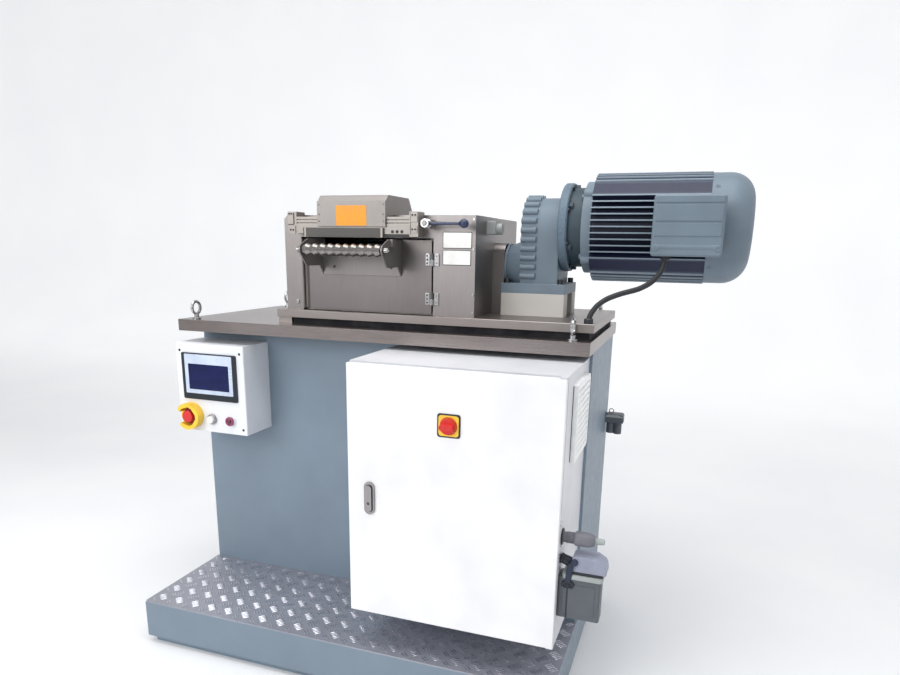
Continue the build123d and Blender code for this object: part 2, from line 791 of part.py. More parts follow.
# Two machined blocks under the gear unit's foot
foot_front = gear_y - FOOT_WIDTH / 2
foot_back = gear_y + FOOT_WIDTH / 2
foot_bottom = bed_top + STAND_HEIGHT
with BuildPart() as gear_stand:
    for stand_front in (foot_front, foot_back - STAND_WIDTH):
        block(
            gear_left, gear_left + FOOT_LENGTH, stand_front, stand_front + STAND_WIDTH,
            bed_top, foot_bottom,
        )
    chamfer(gear_stand.edges().filter_by(Axis.Z), 2)
gear_stand.part.label = "gear_stand"
export_step(gear_stand.part, "parts/gear_stand.step")

# Gear case: foot, output hub and a tall body with ribs on its driven side
case_foot_level = STAND_HEIGHT + FOOT_THICK
case_rise = CASE_TOP_LEVEL - case_foot_level
rib_right = case_left + CASE_RIBBED
arc_ribs = round(pi * CASE_R / CASE_RIB_PITCH)
flank_levels = [
    CASE_TOP_LEVEL - CASE_RIB_PITCH * (row + 1)
    for row in range(int((case_rise - CASE_RIB_R) // CASE_RIB_PITCH))
]
with BuildPart() as gear_case:
    block(
        gear_left, gear_left + FOOT_LENGTH, foot_front, foot_back,
        foot_bottom, foot_bottom + FOOT_THICK,
    )
    with BuildSketch(side_plane(case_left, gear_y, bed_top)):
        with Locations((0, CASE_TOP_LEVEL)):
            Circle(CASE_R)
        with Locations((0, case_foot_level)):
            Rectangle(CASE_FOOT, 2)
        make_hull()
    extrude(amount=CASE_LENGTH)
    for level in flank_levels:
        flank = CASE_FOOT / 2 + (CASE_R - CASE_FOOT / 2) * (level - case_foot_level) / case_rise
        for side in (-flank, flank):
            bar_x(case_left, rib_right, gear_y + side, bed_top + level, CASE_RIB_R)
    for step in range(arc_ribs + 1):
        angle = pi * step / arc_ribs
        bar_x(
            case_left, rib_right, gear_y + CASE_R * cos(angle),
            bed_top + CASE_TOP_LEVEL + CASE_R * sin(angle), CASE_RIB_R,
        )
    with Locations(Location((hub_left + HUB_LENGTH / 2, gear_y, output_z), (0, 90, 0))):
        Cone(HUB_SMALL_R, HUB_LARGE_R, HUB_LENGTH)
    bar_x(gear_left, hub_left, gear_y, output_z, OUTPUT_RING_R)
gear_case.part.label = "gear_case"
export_step(gear_case.part, "parts/gear_case.step")

# Gear case cover with the neck that carries the motor
with BuildPart() as gear_cover:
    bar_x(case_right, adapter_left, gear_y, motor_z, COVER_FLANGE_R)
    chamfer(gear_cover.edges().filter_by(GeomType.CIRCLE), 4)
    bar_x(adapter_left - 1, shield_left, gear_y, motor_z, ADAPTER_R)
gear_cover.part.label = "gear_cover"
export_step(gear_cover.part, "parts/gear_cover.step")

# Motor end shield
with BuildPart() as motor_shield:
    with BuildSketch(side_plane(shield_left, gear_y, motor_z)):
        Circle(SHIELD_R)
        with PolarLocations(SHIELD_R - 4, 4, start_angle=45):
            Circle(14)
    extrude(amount=SHIELD)
motor_shield.part.label = "motor_shield"
export_step(motor_shield.part, "parts/motor_shield.step")

# Motor stator: a core with rows of cooling fins, plain pads between them and a flat seat
# for the terminal box
terminal_left = motor_end - TERMINAL_FROM_END - TERMINAL_WIDTH
terminal_mid = terminal_left + TERMINAL_WIDTH / 2
seat_left = terminal_left + TERMINAL_NECK_INSET
seat_right = seat_left + TERMINAL_NECK
seat_y = gear_y - TERMINAL_SEAT
with BuildPart() as motor_stator:
    with BuildSketch(side_plane(stator_left, gear_y, motor_z)):
        Circle(STATOR_CORE_R)
        with GridLocations(1, FIN_PITCH, 1, FIN_ROWS):
            Rectangle(2 * STATOR_R, FIN_THICK)
        with GridLocations(FIN_PITCH, 1, FIN_ROWS, 1):
            Rectangle(FIN_THICK, 2 * STATOR_R)
        for slant in (45, 135):
            with Locations(Location((0, 0), slant)):
                Rectangle(2 * STATOR_PAD_R, STATOR_PAD)
        Circle(STATOR_R, mode=Mode.INTERSECT)
    extrude(amount=STATOR)
    block(
        seat_left, seat_right, gear_y - STATOR_R - 1, seat_y,
        motor_z - TERMINAL_NECK / 2, motor_z + TERMINAL_NECK / 2, mode=Mode.SUBTRACT,
    )
motor_stator.part.label = "motor_stator"
export_step(motor_stator.part, "parts/motor_stator.step")

# Fan cover with its rounded end
with BuildPart() as fan_cover:
    bar_x(stator_right, motor_end, gear_y, motor_z, FAN_COVER_R)
    fillet(
        fan_cover.edges().filter_by(GeomType.CIRCLE).sort_by(Axis.X)[-1],
        FAN_COVER_ROUND,
    )
fan_cover.part.label = "fan_cover"
export_step(fan_cover.part, "parts/fan_cover.step")

# Terminal box on a neck that seats on the stator, with a raised lid
terminal_front = gear_y - TERMINAL_FRONT
terminal_bottom = motor_z - TERMINAL_HEIGHT / 2
terminal_top = motor_z + TERMINAL_HEIGHT / 2
terminal_body_bottom = terminal_bottom + TERMINAL_BODY_INSET
with BuildPart() as terminal_box:
    with BuildSketch(front_plane(terminal_mid, terminal_front, motor_z)):
        RectangleRounded(TERMINAL_WIDTH, TERMINAL_HEIGHT, 8)
    extrude(amount=-TERMINAL_LID)
    chamfer(terminal_box.faces().sort_by(Axis.Y)[0].edges(), 5)
    block(
        terminal_left + TERMINAL_BODY_INSET,
        terminal_left + TERMINAL_WIDTH - TERMINAL_BODY_INSET,
        terminal_front + TERMINAL_LID - 1, terminal_front + TERMINAL_DEPTH,
        terminal_body_bottom, terminal_top - TERMINAL_BODY_INSET,
    )
    block(
        seat_left, seat_right, terminal_front + TERMINAL_DEPTH - 1, seat_y,
        motor_z - TERMINAL_NECK / 2, motor_z + TERMINAL_NECK / 2,
    )
terminal_box.part.label = "terminal_box"
export_step(terminal_box.part, "parts/terminal_box.step")

# Glands: one under the terminal box, one on the bed plate
gland_x = terminal_left + GLAND_INSET
gland_y = terminal_front + TERMINAL_LID + GLAND_SETBACK
foot_gland_x = bed_right - FOOT_GLAND_X
foot_gland_y = bed_front + FOOT_GLAND_Y
with BuildPart() as cable_glands:
    bar_z(gland_x, gland_y, terminal_body_bottom - GLAND_HEIGHT, terminal_body_bottom, GLAND_R)
    bar_z(foot_gland_x, foot_gland_y, bed_top, bed_top + GLAND_HEIGHT, GLAND_R)
    chamfer(
        cable_glands.edges().filter_by(GeomType.CIRCLE).group_by(Axis.Z)[1]
        + cable_glands.edges().filter_by(GeomType.CIRCLE).group_by(Axis.Z)[2],
        3,
    )
cable_glands.part.label = "cable_glands"
export_step(cable_glands.part, "parts/cable_glands.step")

# Motor cable, held at both ends: its points are chosen along the real route
cable_points = [
    (853, -48, 1276),
    (850, -49, 1256),
    (840, -51, 1235),
    (822, -56, 1215),
    (793, -63, 1198),
    (741, -76, 1183),
    (707, -85, 1168),
    (685, -91, 1150),
    (672, -94, 1130),
    (666, -95, 1114),
]


def run(start, end):
    """Vector from one point to the next."""
    return [b - a for a, b in zip(start, end)]


def bend_radii(points):
    """A radius for each inner point, so that the arcs nearly meet along the runs."""
    radii = []
    for before, here, after in zip(points, points[1:], points[2:]):
        into = run(before, here)
        out = run(here, after)
        size_in = hypot(*into)
        size_out = hypot(*out)
        turn = acos(sum(a * b for a, b in zip(into, out)) / (size_in * size_out))
        radii.append(0.45 * min(size_in, size_out) / tan(turn / 2))
    return radii


cable_radii = bend_radii(cable_points)
print("cable radii", [round(radius) for radius in cable_radii])
with BuildPart() as motor_cable:
    with BuildLine() as route:
        FilletPolyline(*cable_points, radius=cable_radii)
    with BuildSketch(Plane(origin=route.line @ 0, z_dir=route.line % 0)):
        Circle(CABLE_R)
    sweep()
motor_cable.part.label = "motor_cable"
export_step(motor_cable.part, "parts/motor_cable.step")

# Operator box with pockets for the stop button's and the push button's stems
panel_left = -worktop_width / 2
panel_right = panel_left + PANEL_WIDTH
panel_top = WORKTOP_HEIGHT - WORKTOP_EDGE - PANEL_DROP
panel_bottom = panel_top - PANEL_HEIGHT
panel_front = pedestal_front - PANEL_DEPTH
stop_x = panel_left + STOP_X
stop_z = panel_bottom + STOP_Z
button_x = panel_left + BUTTON_X
button_z = panel_bottom + BUTTON_Z
lamp_x = panel_left + LAMP_X
lamp_z = panel_bottom + LAMP_Z
pocket_back = panel_front + STEM_POCKET
with BuildPart() as operator_box:
    block(panel_left, panel_right, panel_front, pedestal_front, panel_bottom, panel_top)
    fillet(operator_box.edges().filter_by(Axis.Z).group_by(Axis.Y)[0], 4)
    for x, z in ((stop_x, stop_z), (button_x, button_z)):
        bar_y(x, panel_front - 1, pocket_back, z, STEM_R + PIN_CLEARANCE, Mode.SUBTRACT)
    bezel_front = panel_front - BUTTON_BEZEL
    bar_y(button_x, bezel_front, panel_front, button_z, BUTTON_BEZEL_R)
    bar_y(button_x, bezel_front - 1, panel_front, button_z, BUTTON_R + 0.5, Mode.SUBTRACT)
    bar_y(lamp_x, panel_front - LAMP_PROUD, panel_front + 1, lamp_z, LAMP_R)
operator_box.part.label = "operator_box"
export_step(operator_box.part, "parts/operator_box.step")

# Screen: a bezel with the display set back in it
screen_left = panel_left + SCREEN_LEFT
screen_top = panel_top - SCREEN_TOP
with BuildPart() as screen_panel:
    block(
        screen_left, screen_left + SCREEN_WIDTH, panel_front - SCREEN_PROUD, panel_front,
        screen_top - SCREEN_HEIGHT, screen_top,
    )
    fillet(screen_panel.edges().filter_by(Axis.Y), 5)
    block(
        screen_left + (SCREEN_WIDTH - DISPLAY_WIDTH) / 2,
        screen_left + (SCREEN_WIDTH + DISPLAY_WIDTH) / 2,
        panel_front - SCREEN_PROUD - 1, panel_front - SCREEN_PROUD + 1,
        screen_top - (SCREEN_HEIGHT + DISPLAY_HEIGHT) / 2,
        screen_top - (SCREEN_HEIGHT - DISPLAY_HEIGHT) / 2, mode=Mode.SUBTRACT,
    )
screen_panel.part.label = "screen_panel"
export_step(screen_panel.part, "parts/screen_panel.step")

# Yellow guard collar round the stop button
with BuildPart() as stop_collar:
    bar_y(stop_x, panel_front - STOP_COLLAR, panel_front, stop_z, STOP_COLLAR_R)
    bar_y(
        stop_x, panel_front - STOP_COLLAR - 1, panel_front - 4, stop_z,
        STOP_COLLAR_BORE, mode=Mode.SUBTRACT,
    )
    bar_y(stop_x, panel_front - 5, panel_front + 1, stop_z, STEM_R + 1, mode=Mode.SUBTRACT)
stop_collar.part.label = "stop_collar"
export_step(stop_collar.part, "parts/stop_collar.step")

# Red mushroom button on its stem
stop_back = panel_front - 4 - STOP_TRAVEL - 6
with BuildPart() as stop_button:
    bar_y(stop_x, stop_back - 24, stop_back, stop_z, STOP_HEAD_R)
    chamfer(stop_button.edges().filter_by(GeomType.CIRCLE).sort_by(Axis.Y)[0], 6)
    bar_y(stop_x, stop_back - 1, pocket_back - STOP_TRAVEL - STEM_END_GAP, stop_z, STEM_R)
stop_button.part.label = "stop_button"
export_step(stop_button.part, "parts/stop_button.step")

# White push button in its round bezel
with BuildPart() as push_button:
    bar_y(button_x, panel_front - 12 - BUTTON_TRAVEL, panel_front - 6, button_z, BUTTON_R)
    bar_y(button_x, panel_front - 7, pocket_back - BUTTON_TRAVEL - STEM_END_GAP, button_z, STEM_R)
push_button.part.label = "push_button"
export_step(push_button.part, "parts/push_button.step")

# Cabinet body: an open steel box with a rim round the front and pivot plates for the door
cabinet_right = worktop_width / 2 - CABINET_INSET - 3
cabinet_left = cabinet_right - CABINET_WIDTH
cabinet_top = WORKTOP_HEIGHT - WORKTOP_EDGE - CABINET_DROP
cabinet_bottom = cabinet_top - CABINET_HEIGHT
cabinet_front = pedestal_front - CABINET_DEPTH
cabinet_door_back = cabinet_front - CABINET_DOOR_GAP
cabinet_door_front = cabinet_door_back - CABINET_DOOR
pivot_x = cabinet_right - PIVOT_INSET
pivot_y = cabinet_door_back - CABINET_DOOR / 2
with BuildPart() as cabinet_body:
    block(
        cabinet_left, cabinet_right, cabinet_front, pedestal_front,
        cabinet_bottom, cabinet_top,
    )
    block(
        cabinet_left + CABINET_SHEET, cabinet_right - CABINET_SHEET,
        cabinet_front + CABINET_SHEET, pedestal_front - CABINET_SHEET,
        cabinet_bottom + CABINET_SHEET, cabinet_top - CABINET_SHEET, mode=Mode.SUBTRACT,
    )
    block(
        cabinet_left + CABINET_RIM, cabinet_right - CABINET_RIM,
        cabinet_front - 1, cabinet_front + CABINET_SHEET + 1,
        cabinet_bottom + CABINET_RIM, cabinet_top - CABINET_RIM, mode=Mode.SUBTRACT,
    )
    for plate_bottom in (cabinet_bottom, cabinet_top - PIVOT_PLATE):
        block(
            cabinet_right - 3 * PIVOT_INSET, cabinet_right, pivot_y - PIVOT_R - 2, cabinet_front,
            plate_bottom, plate_bottom + PIVOT_PLATE,
        )
    bar_z(pivot_x, pivot_y, cabinet_bottom, cabinet_bottom + PIVOT_PLATE + PIVOT_DEPTH, PIVOT_R)
    bar_z(pivot_x, pivot_y, cabinet_top - PIVOT_PLATE - PIVOT_DEPTH, cabinet_top, PIVOT_R)
cabinet_body.part.label = "cabinet_body"
export_step(cabinet_body.part, "parts/cabinet_body.step")

# Mounting plate at the back of the cabinet, on four spacers
plate_y = pedestal_front - PLATE_STANDOFF
spacer_inset = PLATE_INSET + SPACER_INSET
with BuildPart() as mounting_plate:
    block(
        cabinet_left + PLATE_INSET, cabinet_right - PLATE_INSET, plate_y, plate_y + PLATE_SHEET,
        cabinet_bottom + PLATE_INSET, cabinet_top - PLATE_INSET,
    )
    for x in (cabinet_left + spacer_inset, cabinet_right - spacer_inset):
        for z in (cabinet_bottom + spacer_inset, cabinet_top - spacer_inset):
            bar_y(x, plate_y + PLATE_SHEET, pedestal_front - CABINET_SHEET, z, SPACER_R)
mounting_plate.part.label = "mounting_plate"
export_step(mounting_plate.part, "parts/mounting_plate.step")

# Cabinet door between its two pivots, with the hole for the main switch
cabinet_door_bottom = cabinet_bottom + PIVOT_PLATE + 1
cabinet_door_top = cabinet_top - PIVOT_PLATE - 1
switch_x = cabinet_left + SWITCH_FROM_LEFT
switch_z = cabinet_top - SWITCH_FROM_TOP
with BuildPart() as cabinet_door:
    block(
        cabinet_left, cabinet_right, cabinet_door_front, cabinet_door_back,
        cabinet_door_bottom, cabinet_door_top,
    )
    fillet(cabinet_door.edges().filter_by(Axis.Z), 3)
    for z in (cabinet_door_bottom, cabinet_door_top):
        bar_z(
            pivot_x, pivot_y, z - PIVOT_DEPTH - 1, z + PIVOT_DEPTH + 1,
            PIVOT_R + PIN_CLEARANCE, mode=Mode.SUBTRACT,
        )
    bar_y(
        switch_x, cabinet_door_front - 1, cabinet_door_back + 1, switch_z,
        SWITCH_SHAFT_R + PIN_CLEARANCE, mode=Mode.SUBTRACT,
    )
cabinet_door.part.label = "cabinet_door"
export_step(cabinet_door.part, "parts/cabinet_door.step")

# Lock plate on the door
lock_x = cabinet_left + LOCK_FROM_LEFT
lock_z = cabinet_top - LOCK_FROM_TOP
with BuildPart() as door_lock:
    with BuildSketch(front_plane(lock_x, cabinet_door_front, lock_z)):
        SlotOverall(LOCK_HEIGHT, LOCK_WIDTH, rotation=90)
    extrude(amount=LOCK_PROUD)
    chamfer(door_lock.faces().sort_by(Axis.Y)[0].edges(), 2.5)
door_lock.part.label = "door_lock"
export_step(door_lock.part, "parts/door_lock.step")

# Main switch: a square plate and a rotary handle with a grip bar
plate_front = cabinet_door_front - SWITCH_PLATE_THICK
with BuildPart() as switch_plate:
    block(
        switch_x - SWITCH_PLATE / 2, switch_x + SWITCH_PLATE / 2, plate_front, cabinet_door_front,
        switch_z - SWITCH_PLATE / 2, switch_z + SWITCH_PLATE / 2,
    )
    fillet(switch_plate.edges().filter_by(Axis.Y), 3)
    bar_y(
        switch_x, plate_front - 1, cabinet_door_front + 1, switch_z,
        SWITCH_SHAFT_R + 0.5, mode=Mode.SUBTRACT,
    )
switch_plate.part.label = "switch_plate"
export_step(switch_plate.part, "parts/switch_plate.step")

knob_back = plate_front - 0.5
with BuildPart() as switch_handle:
    block(
        switch_x - SWITCH_GRIP / 2, switch_x + SWITCH_GRIP / 2,
        knob_back - SWITCH_KNOB, knob_back - SWITCH_DISC + 1,
        switch_z - SWITCH_GRIP_HIGH / 2, switch_z + SWITCH_GRIP_HIGH / 2,
    )
    chamfer(switch_handle.edges().filter_by(Axis.Y), 3)
    bar_y(switch_x, knob_back - SWITCH_DISC, knob_back, switch_z, SWITCH_KNOB_R)
    bar_y(switch_x, knob_back - 1, cabinet_door_back + 4, switch_z, SWITCH_SHAFT_R)
switch_handle.part.label = "switch_handle"
export_step(switch_handle.part, "parts/switch_handle.step")

# Ventilation cover with slanting slats on the cabinet's right side
vent_back = pedestal_front - VENT_FROM_BACK
vent_front = vent_back - VENT_DEPTH
vent_top = cabinet_top - VENT_TOP
vent_bottom = vent_top - VENT_HEIGHT
with BuildPart() as vent_grille:
    block(
        cabinet_right, cabinet_right + VENT_PROUD, vent_front, vent_back,
        vent_bottom, vent_top,
    )
    vent_sides = vent_grille.edges().filter_by(Axis.X).group_by(Axis.Y)
    fillet(vent_sides[-1], VENT_ROUND)
    fillet(vent_sides[0], VENT_EDGE)
    with BuildSketch(front_plane(cabinet_right, vent_back - VENT_RIM, vent_bottom)):
        for slat in range(VENT_SLATS):
            level = VENT_RIM + slat * VENT_PITCH
            with BuildLine():
                Polyline(
                    (VENT_PROUD + 1, level),
                    (VENT_PROUD + 1, level + VENT_GAP),
                    (VENT_SHEET, level + VENT_GAP + VENT_RISE),
                    (VENT_SHEET, level + VENT_RISE),
                    close=True,
                )
            make_face()
    extrude(amount=VENT_DEPTH - 2 * VENT_RIM, mode=Mode.SUBTRACT)
vent_grille.part.label = "vent_grille"
export_step(vent_grille.part, "parts/vent_grille.step")

# Small round plug on the cabinet's right side: a flange, a collar, a grip and a tail
plug_y = cabinet_front + PLUG_FROM_FRONT
plug_z = cabinet_top - SMALL_PLUG_DROP
plug_end = cabinet_right + PLUG_FLANGE_SHEET
with BuildPart() as side_plug:
    block(
        cabinet_right, plug_end, plug_y - PLUG_FLANGE / 2, plug_y + PLUG_FLANGE / 2,
        plug_z - PLUG_FLANGE / 2, plug_z + PLUG_FLANGE / 2,
    )
    for length, radius in PLUG_STEPS:
        bar_x(plug_end - 1, plug_end + length, plug_y, plug_z, radius)
        plug_end += length
side_plug.part.label = "side_plug"
export_step(side_plug.part, "parts/side_plug.step")

# Heavy power connector: a lower housing, a flange, a hood, its locking lever and a gland
power_top = cabinet_top - POWER_PLUG_DROP
hood_low = power_top - POWER_HOOD_HEIGHT
flange_low = hood_low - POWER_FLANGE_SHEET
housing_low = flange_low - POWER_HOUSING_HEIGHT
power_right = cabinet_right + POWER_REACH
lever_side = plug_y - POWER_DEPTH / 2
with BuildPart() as power_connector:
    block(
        cabinet_right, power_right, plug_y - POWER_DEPTH / 2, plug_y + POWER_DEPTH / 2,
        housing_low, flange_low,
    )
    chamfer(power_connector.edges().filter_by(Axis.Y), 6)
    block(
        cabinet_right + POWER_FLANGE_INSET, power_right + POWER_FLANGE_PROUD,
        lever_side - POWER_FLANGE_PROUD, plug_y + POWER_DEPTH / 2 + POWER_FLANGE_PROUD,
        flange_low - 1, hood_low,
    )
    with BuildSketch(front_plane(cabinet_right, plug_y + POWER_DEPTH / 2, hood_low)):
        with BuildLine():
            Polyline(
                (POWER_HOOD_INSET, 0),
                (POWER_HOOD_INSET, POWER_HOOD_HEIGHT),
                (POWER_REACH - POWER_HOOD_SLOPE, POWER_HOOD_HEIGHT),
                (POWER_REACH + POWER_HOOD_PROUD, POWER_HOOD_HEIGHT - POWER_HOOD_SLOPE),
                (POWER_REACH, 0),
                close=True,
            )
        make_face()
    extrude(amount=POWER_DEPTH)
    for x in (cabinet_right + POWER_PIN_INSET, power_right - POWER_PIN_INSET):
        bar_y(x, lever_side - POWER_PIN_PROUD, lever_side, flange_low - POWER_PIN_DROP, POWER_PIN_R)
    bar_x(
        cabinet_right, cabinet_right + POWER_HOOD_INSET, plug_y,
        power_top - POWER_HOOD_HEIGHT / 2, POWER_GLAND_R,
    )
power_connector.part.label = "power_connector"
export_step(power_connector.part, "parts/power_connector.step")

# Fitting at the back of the pedestal's right side
pedestal_right = pedestal_width / 2
fitting_y = base_back - FITTING_FROM_BACK
fitting_low = REAR_FITTING_TOP - FITTING_BODY
with BuildPart() as rear_fitting:
    block(
        pedestal_right, pedestal_right + FITTING_REACH,
        fitting_y - FITTING_DEPTH / 2, fitting_y + FITTING_DEPTH / 2, fitting_low, REAR_FITTING_TOP,
    )
    fillet(rear_fitting.edges().filter_by(Axis.Y).group_by(Axis.Z)[-1], FITTING_ROUND)
    for reach, drop in FITTING_LOBES:
        bar_z(
            pedestal_right + reach, fitting_y, REAR_FITTING_TOP - drop, fitting_low + 1,
            FITTING_LOBE_R,
        )
rear_fitting.part.label = "rear_fitting"
export_step(rear_fitting.part, "parts/rear_fitting.step")
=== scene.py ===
"""A strand pelletizing machine on its steel base, dressed for a still picture."""
import math

import bmesh
import bpy
from mathutils import Matrix, Vector


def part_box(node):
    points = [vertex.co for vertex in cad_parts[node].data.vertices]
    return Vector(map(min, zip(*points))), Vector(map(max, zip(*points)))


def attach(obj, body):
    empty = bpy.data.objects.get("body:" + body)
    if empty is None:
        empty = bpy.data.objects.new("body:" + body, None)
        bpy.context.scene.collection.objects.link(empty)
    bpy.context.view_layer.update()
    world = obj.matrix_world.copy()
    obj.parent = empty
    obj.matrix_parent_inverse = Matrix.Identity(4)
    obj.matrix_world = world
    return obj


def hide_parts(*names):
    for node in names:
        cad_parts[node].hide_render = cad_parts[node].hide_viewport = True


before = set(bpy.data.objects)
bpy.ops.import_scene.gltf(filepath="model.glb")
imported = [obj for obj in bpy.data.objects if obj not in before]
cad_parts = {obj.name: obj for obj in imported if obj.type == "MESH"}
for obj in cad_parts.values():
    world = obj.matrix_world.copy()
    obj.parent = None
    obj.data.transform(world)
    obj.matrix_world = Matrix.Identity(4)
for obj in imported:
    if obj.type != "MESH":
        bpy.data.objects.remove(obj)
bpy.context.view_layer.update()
MM = 0.001

# Materials: small helpers


def tree_of(name):
    """A new node material and its shader, with an object coordinate to build on."""
    made = bpy.data.materials.new(name)
    made.use_nodes = True
    nodes = made.node_tree.nodes
    shader = nodes["Principled BSDF"]
    where = nodes.new("ShaderNodeTexCoord")
    return made, shader, where.outputs["Object"]


def stretched(made, where, stretch):
    """The coordinate scaled along each axis, so that a noise turns into streaks."""
    mapping = made.node_tree.nodes.new("ShaderNodeMapping")
    mapping.inputs["Scale"].default_value = stretch
    made.node_tree.links.new(where, mapping.inputs["Vector"])
    return mapping.outputs["Vector"]


def noise(made, where, scale, detail=4.0, rough=0.5):
    """A soft noise; scale is in features per metre."""
    node = made.node_tree.nodes.new("ShaderNodeTexNoise")
    node.inputs["Scale"].default_value = scale
    node.inputs["Detail"].default_value = detail
    node.inputs["Roughness"].default_value = rough
    made.node_tree.links.new(where, node.inputs["Vector"])
    return node.outputs["Fac"]


def shades(made, value, stops):
    """Turns a value into a colour; stops are (place, colour)."""
    node = made.node_tree.nodes.new("ShaderNodeValToRGB")
    ramp = node.color_ramp
    ramp.elements[0].position, ramp.elements[0].color = stops[0][0], (*stops[0][1], 1)
    ramp.elements[1].position, ramp.elements[1].color = stops[-1][0], (*stops[-1][1], 1)
    for place, colour in stops[1:-1]:
        ramp.elements.new(place).color = (*colour, 1)
    made.node_tree.links.new(value, node.inputs["Fac"])
    return node.outputs["Color"]


def spread(made, value, low, high, floor=0.3, ceiling=0.7):
    """Maps a noise onto the range from low to high."""
    node = made.node_tree.nodes.new("ShaderNodeMapRange")
    node.inputs["From Min"].default_value = floor
    node.inputs["From Max"].default_value = ceiling
    node.inputs["To Min"].default_value = low
    node.inputs["To Max"].default_value = high
    made.node_tree.links.new(value, node.inputs["Value"])
    return node.outputs["Result"]


def blended(made, value, first, second):
    """Mixes two colours by a value."""
    node = made.node_tree.nodes.new("ShaderNodeMix")
    node.data_type = "RGBA"
    links = made.node_tree.links
    links.new(value, node.inputs["Factor"])
    links.new(first, node.inputs["A"])
    links.new(second, node.inputs["B"])
    return node.outputs["Result"]


def edge_mask(made, radius):
    """Near one along edges and near nought on flat faces."""
    nodes = made.node_tree.nodes
    links = made.node_tree.links
    bevel = nodes.new("ShaderNodeBevel")
    bevel.samples = 4
    bevel.inputs["Radius"].default_value = radius
    plain = nodes.new("ShaderNodeNewGeometry")
    along = nodes.new("ShaderNodeVectorMath")
    along.operation = "DOT_PRODUCT"
    links.new(bevel.outputs["Normal"], along.inputs[0])
    links.new(plain.outputs["Normal"], along.inputs[1])
    return spread(made, along.outputs["Value"], 1.0, 0.0, 0.85, 0.995)


def relief(made, shader, height, strength, distance, radius=0.0):
    """Gives the surface a fine relief, and softens its edges where a radius is set."""
    nodes = made.node_tree.nodes
    links = made.node_tree.links
    bump = nodes.new("ShaderNodeBump")
    bump.inputs["Strength"].default_value = strength
    bump.inputs["Distance"].default_value = distance
    links.new(height, bump.inputs["Height"])
    if radius:
        bevel = nodes.new("ShaderNodeBevel")
        bevel.samples = 4
        bevel.inputs["Radius"].default_value = radius
        links.new(bevel.outputs["Normal"], bump.inputs["Normal"])
    links.new(bump.outputs["Normal"], shader.inputs["Normal"])


def tint(colour, factor):
    """A colour made lighter or darker."""
    return tuple(min(1.0, part * factor) for part in colour)


def srgb(red, green, blue):
    """A colour given as it looks on screen, from 0 to 255, in linear light."""
    parts = [part / 255 for part in (red, green, blue)]
    return tuple(p / 12.92 if p <= 0.04045 else ((p + 0.055) / 1.055) ** 2.4 for p in parts)


def toned(made, value, colour, dark, light):
    """A colour that varies with a noise, between these two factors."""
    return shades(made, value, [(0.3, tint(colour, dark)), (0.7, tint(colour, light))])


def painted(name, colour, rough=0.42, edge_highlight=0.25):
    """Sprayed machine paint: slow changes of tone, orange peel, and edges made lighter as a painted
    highlight.
    """
    made, shader, where = tree_of(name)
    links = made.node_tree.links
    edge = 0.0015
    clouds = noise(made, where, 5.0, 5.0)
    base = toned(made, clouds, colour, 0.92, 1.07)
    # Painted highlight: the colour is made lighter along edges.
    light = toned(made, clouds, colour, 1.0 + edge_highlight, 1.1 + edge_highlight)
    mask = edge_mask(made, edge)
    links.new(blended(made, mask, base, light), shader.inputs["Base Color"])
    marks = noise(made, where, 34.0, 6.0, 0.6)
    links.new(spread(made, marks, rough * 0.85, rough * 1.2), shader.inputs["Roughness"])
    relief(made, shader, noise(made, where, 700.0, 2.0), 0.15, 0.0002, edge)
    return made


def brushed(name, colour, rough=0.3, grain=(1.0, 60.0, 60.0), radius=0.001, depth=0.12, metal=1.0):
    """Brushed sheet metal: fine streaks along one axis, in tone, gloss and relief."""
    made, shader, where = tree_of(name)
    links = made.node_tree.links
    shader.inputs["Metallic"].default_value = metal
    streaks = noise(made, stretched(made, where, grain), 18.0, 8.0, 0.65)
    clouds = noise(made, where, 4.0, 4.0)
    base = toned(made, streaks, colour, 0.9, 1.08)
    stain = shades(made, clouds, [(0.35, (0.88, 0.87, 0.86)), (0.65, (1.0, 1.0, 1.0))])
    whole = made.node_tree.nodes.new("ShaderNodeMix")
    whole.data_type = "RGBA"
    whole.blend_type = "MULTIPLY"
    whole.inputs["Factor"].default_value = 1.0
    links.new(base, whole.inputs["A"])
    links.new(stain, whole.inputs["B"])
    links.new(whole.outputs["Result"], shader.inputs["Base Color"])
    links.new(spread(made, streaks, rough * 0.8, rough * 1.3), shader.inputs["Roughness"])
    relief(made, shader, streaks, depth, 0.0002, radius)
    return made


def moulded(name, colour, rough=0.45, grit=900.0, coat=0.0):
    """Moulded plastic with a fine texture and faint rubbed places."""
    made, shader, where = tree_of(name)
    links = made.node_tree.links
    shader.inputs["Coat Weight"].default_value = coat
    clouds = noise(made, where, 22.0, 5.0, 0.6)
    base = toned(made, clouds, colour, 0.88, 1.1)
    links.new(base, shader.inputs["Base Color"])
    links.new(spread(made, clouds, rough * 0.8, rough * 1.2), shader.inputs["Roughness"])
    relief(made, shader, noise(made, where, grit, 2.0), 0.2, 0.0002, 0.0008)
    return made


def cast(name, colour):
    """Painted casting: a slightly lumpy skin under the paint, and edges made lighter as a painted
    highlight.
    """
    made, shader, where = tree_of(name)
    links = made.node_tree.links
    rough, edge = 0.5, 0.0025
    lumps = noise(made, where, 160.0, 5.0, 0.6)
    clouds = noise(made, where, 9.0, 4.0)
    base = toned(made, clouds, colour, 0.88, 1.08)
    # Painted highlight: edges are made much lighter than the paint.
    light = toned(made, lumps, colour, 1.2, 1.45)
    mask = edge_mask(made, edge)
    links.new(blended(made, mask, base, light), shader.inputs["Base Color"])
    links.new(spread(made, lumps, rough * 0.85, rough * 1.15), shader.inputs["Roughness"])
    relief(made, shader, lumps, 0.3, 0.0006, edge)
    return made


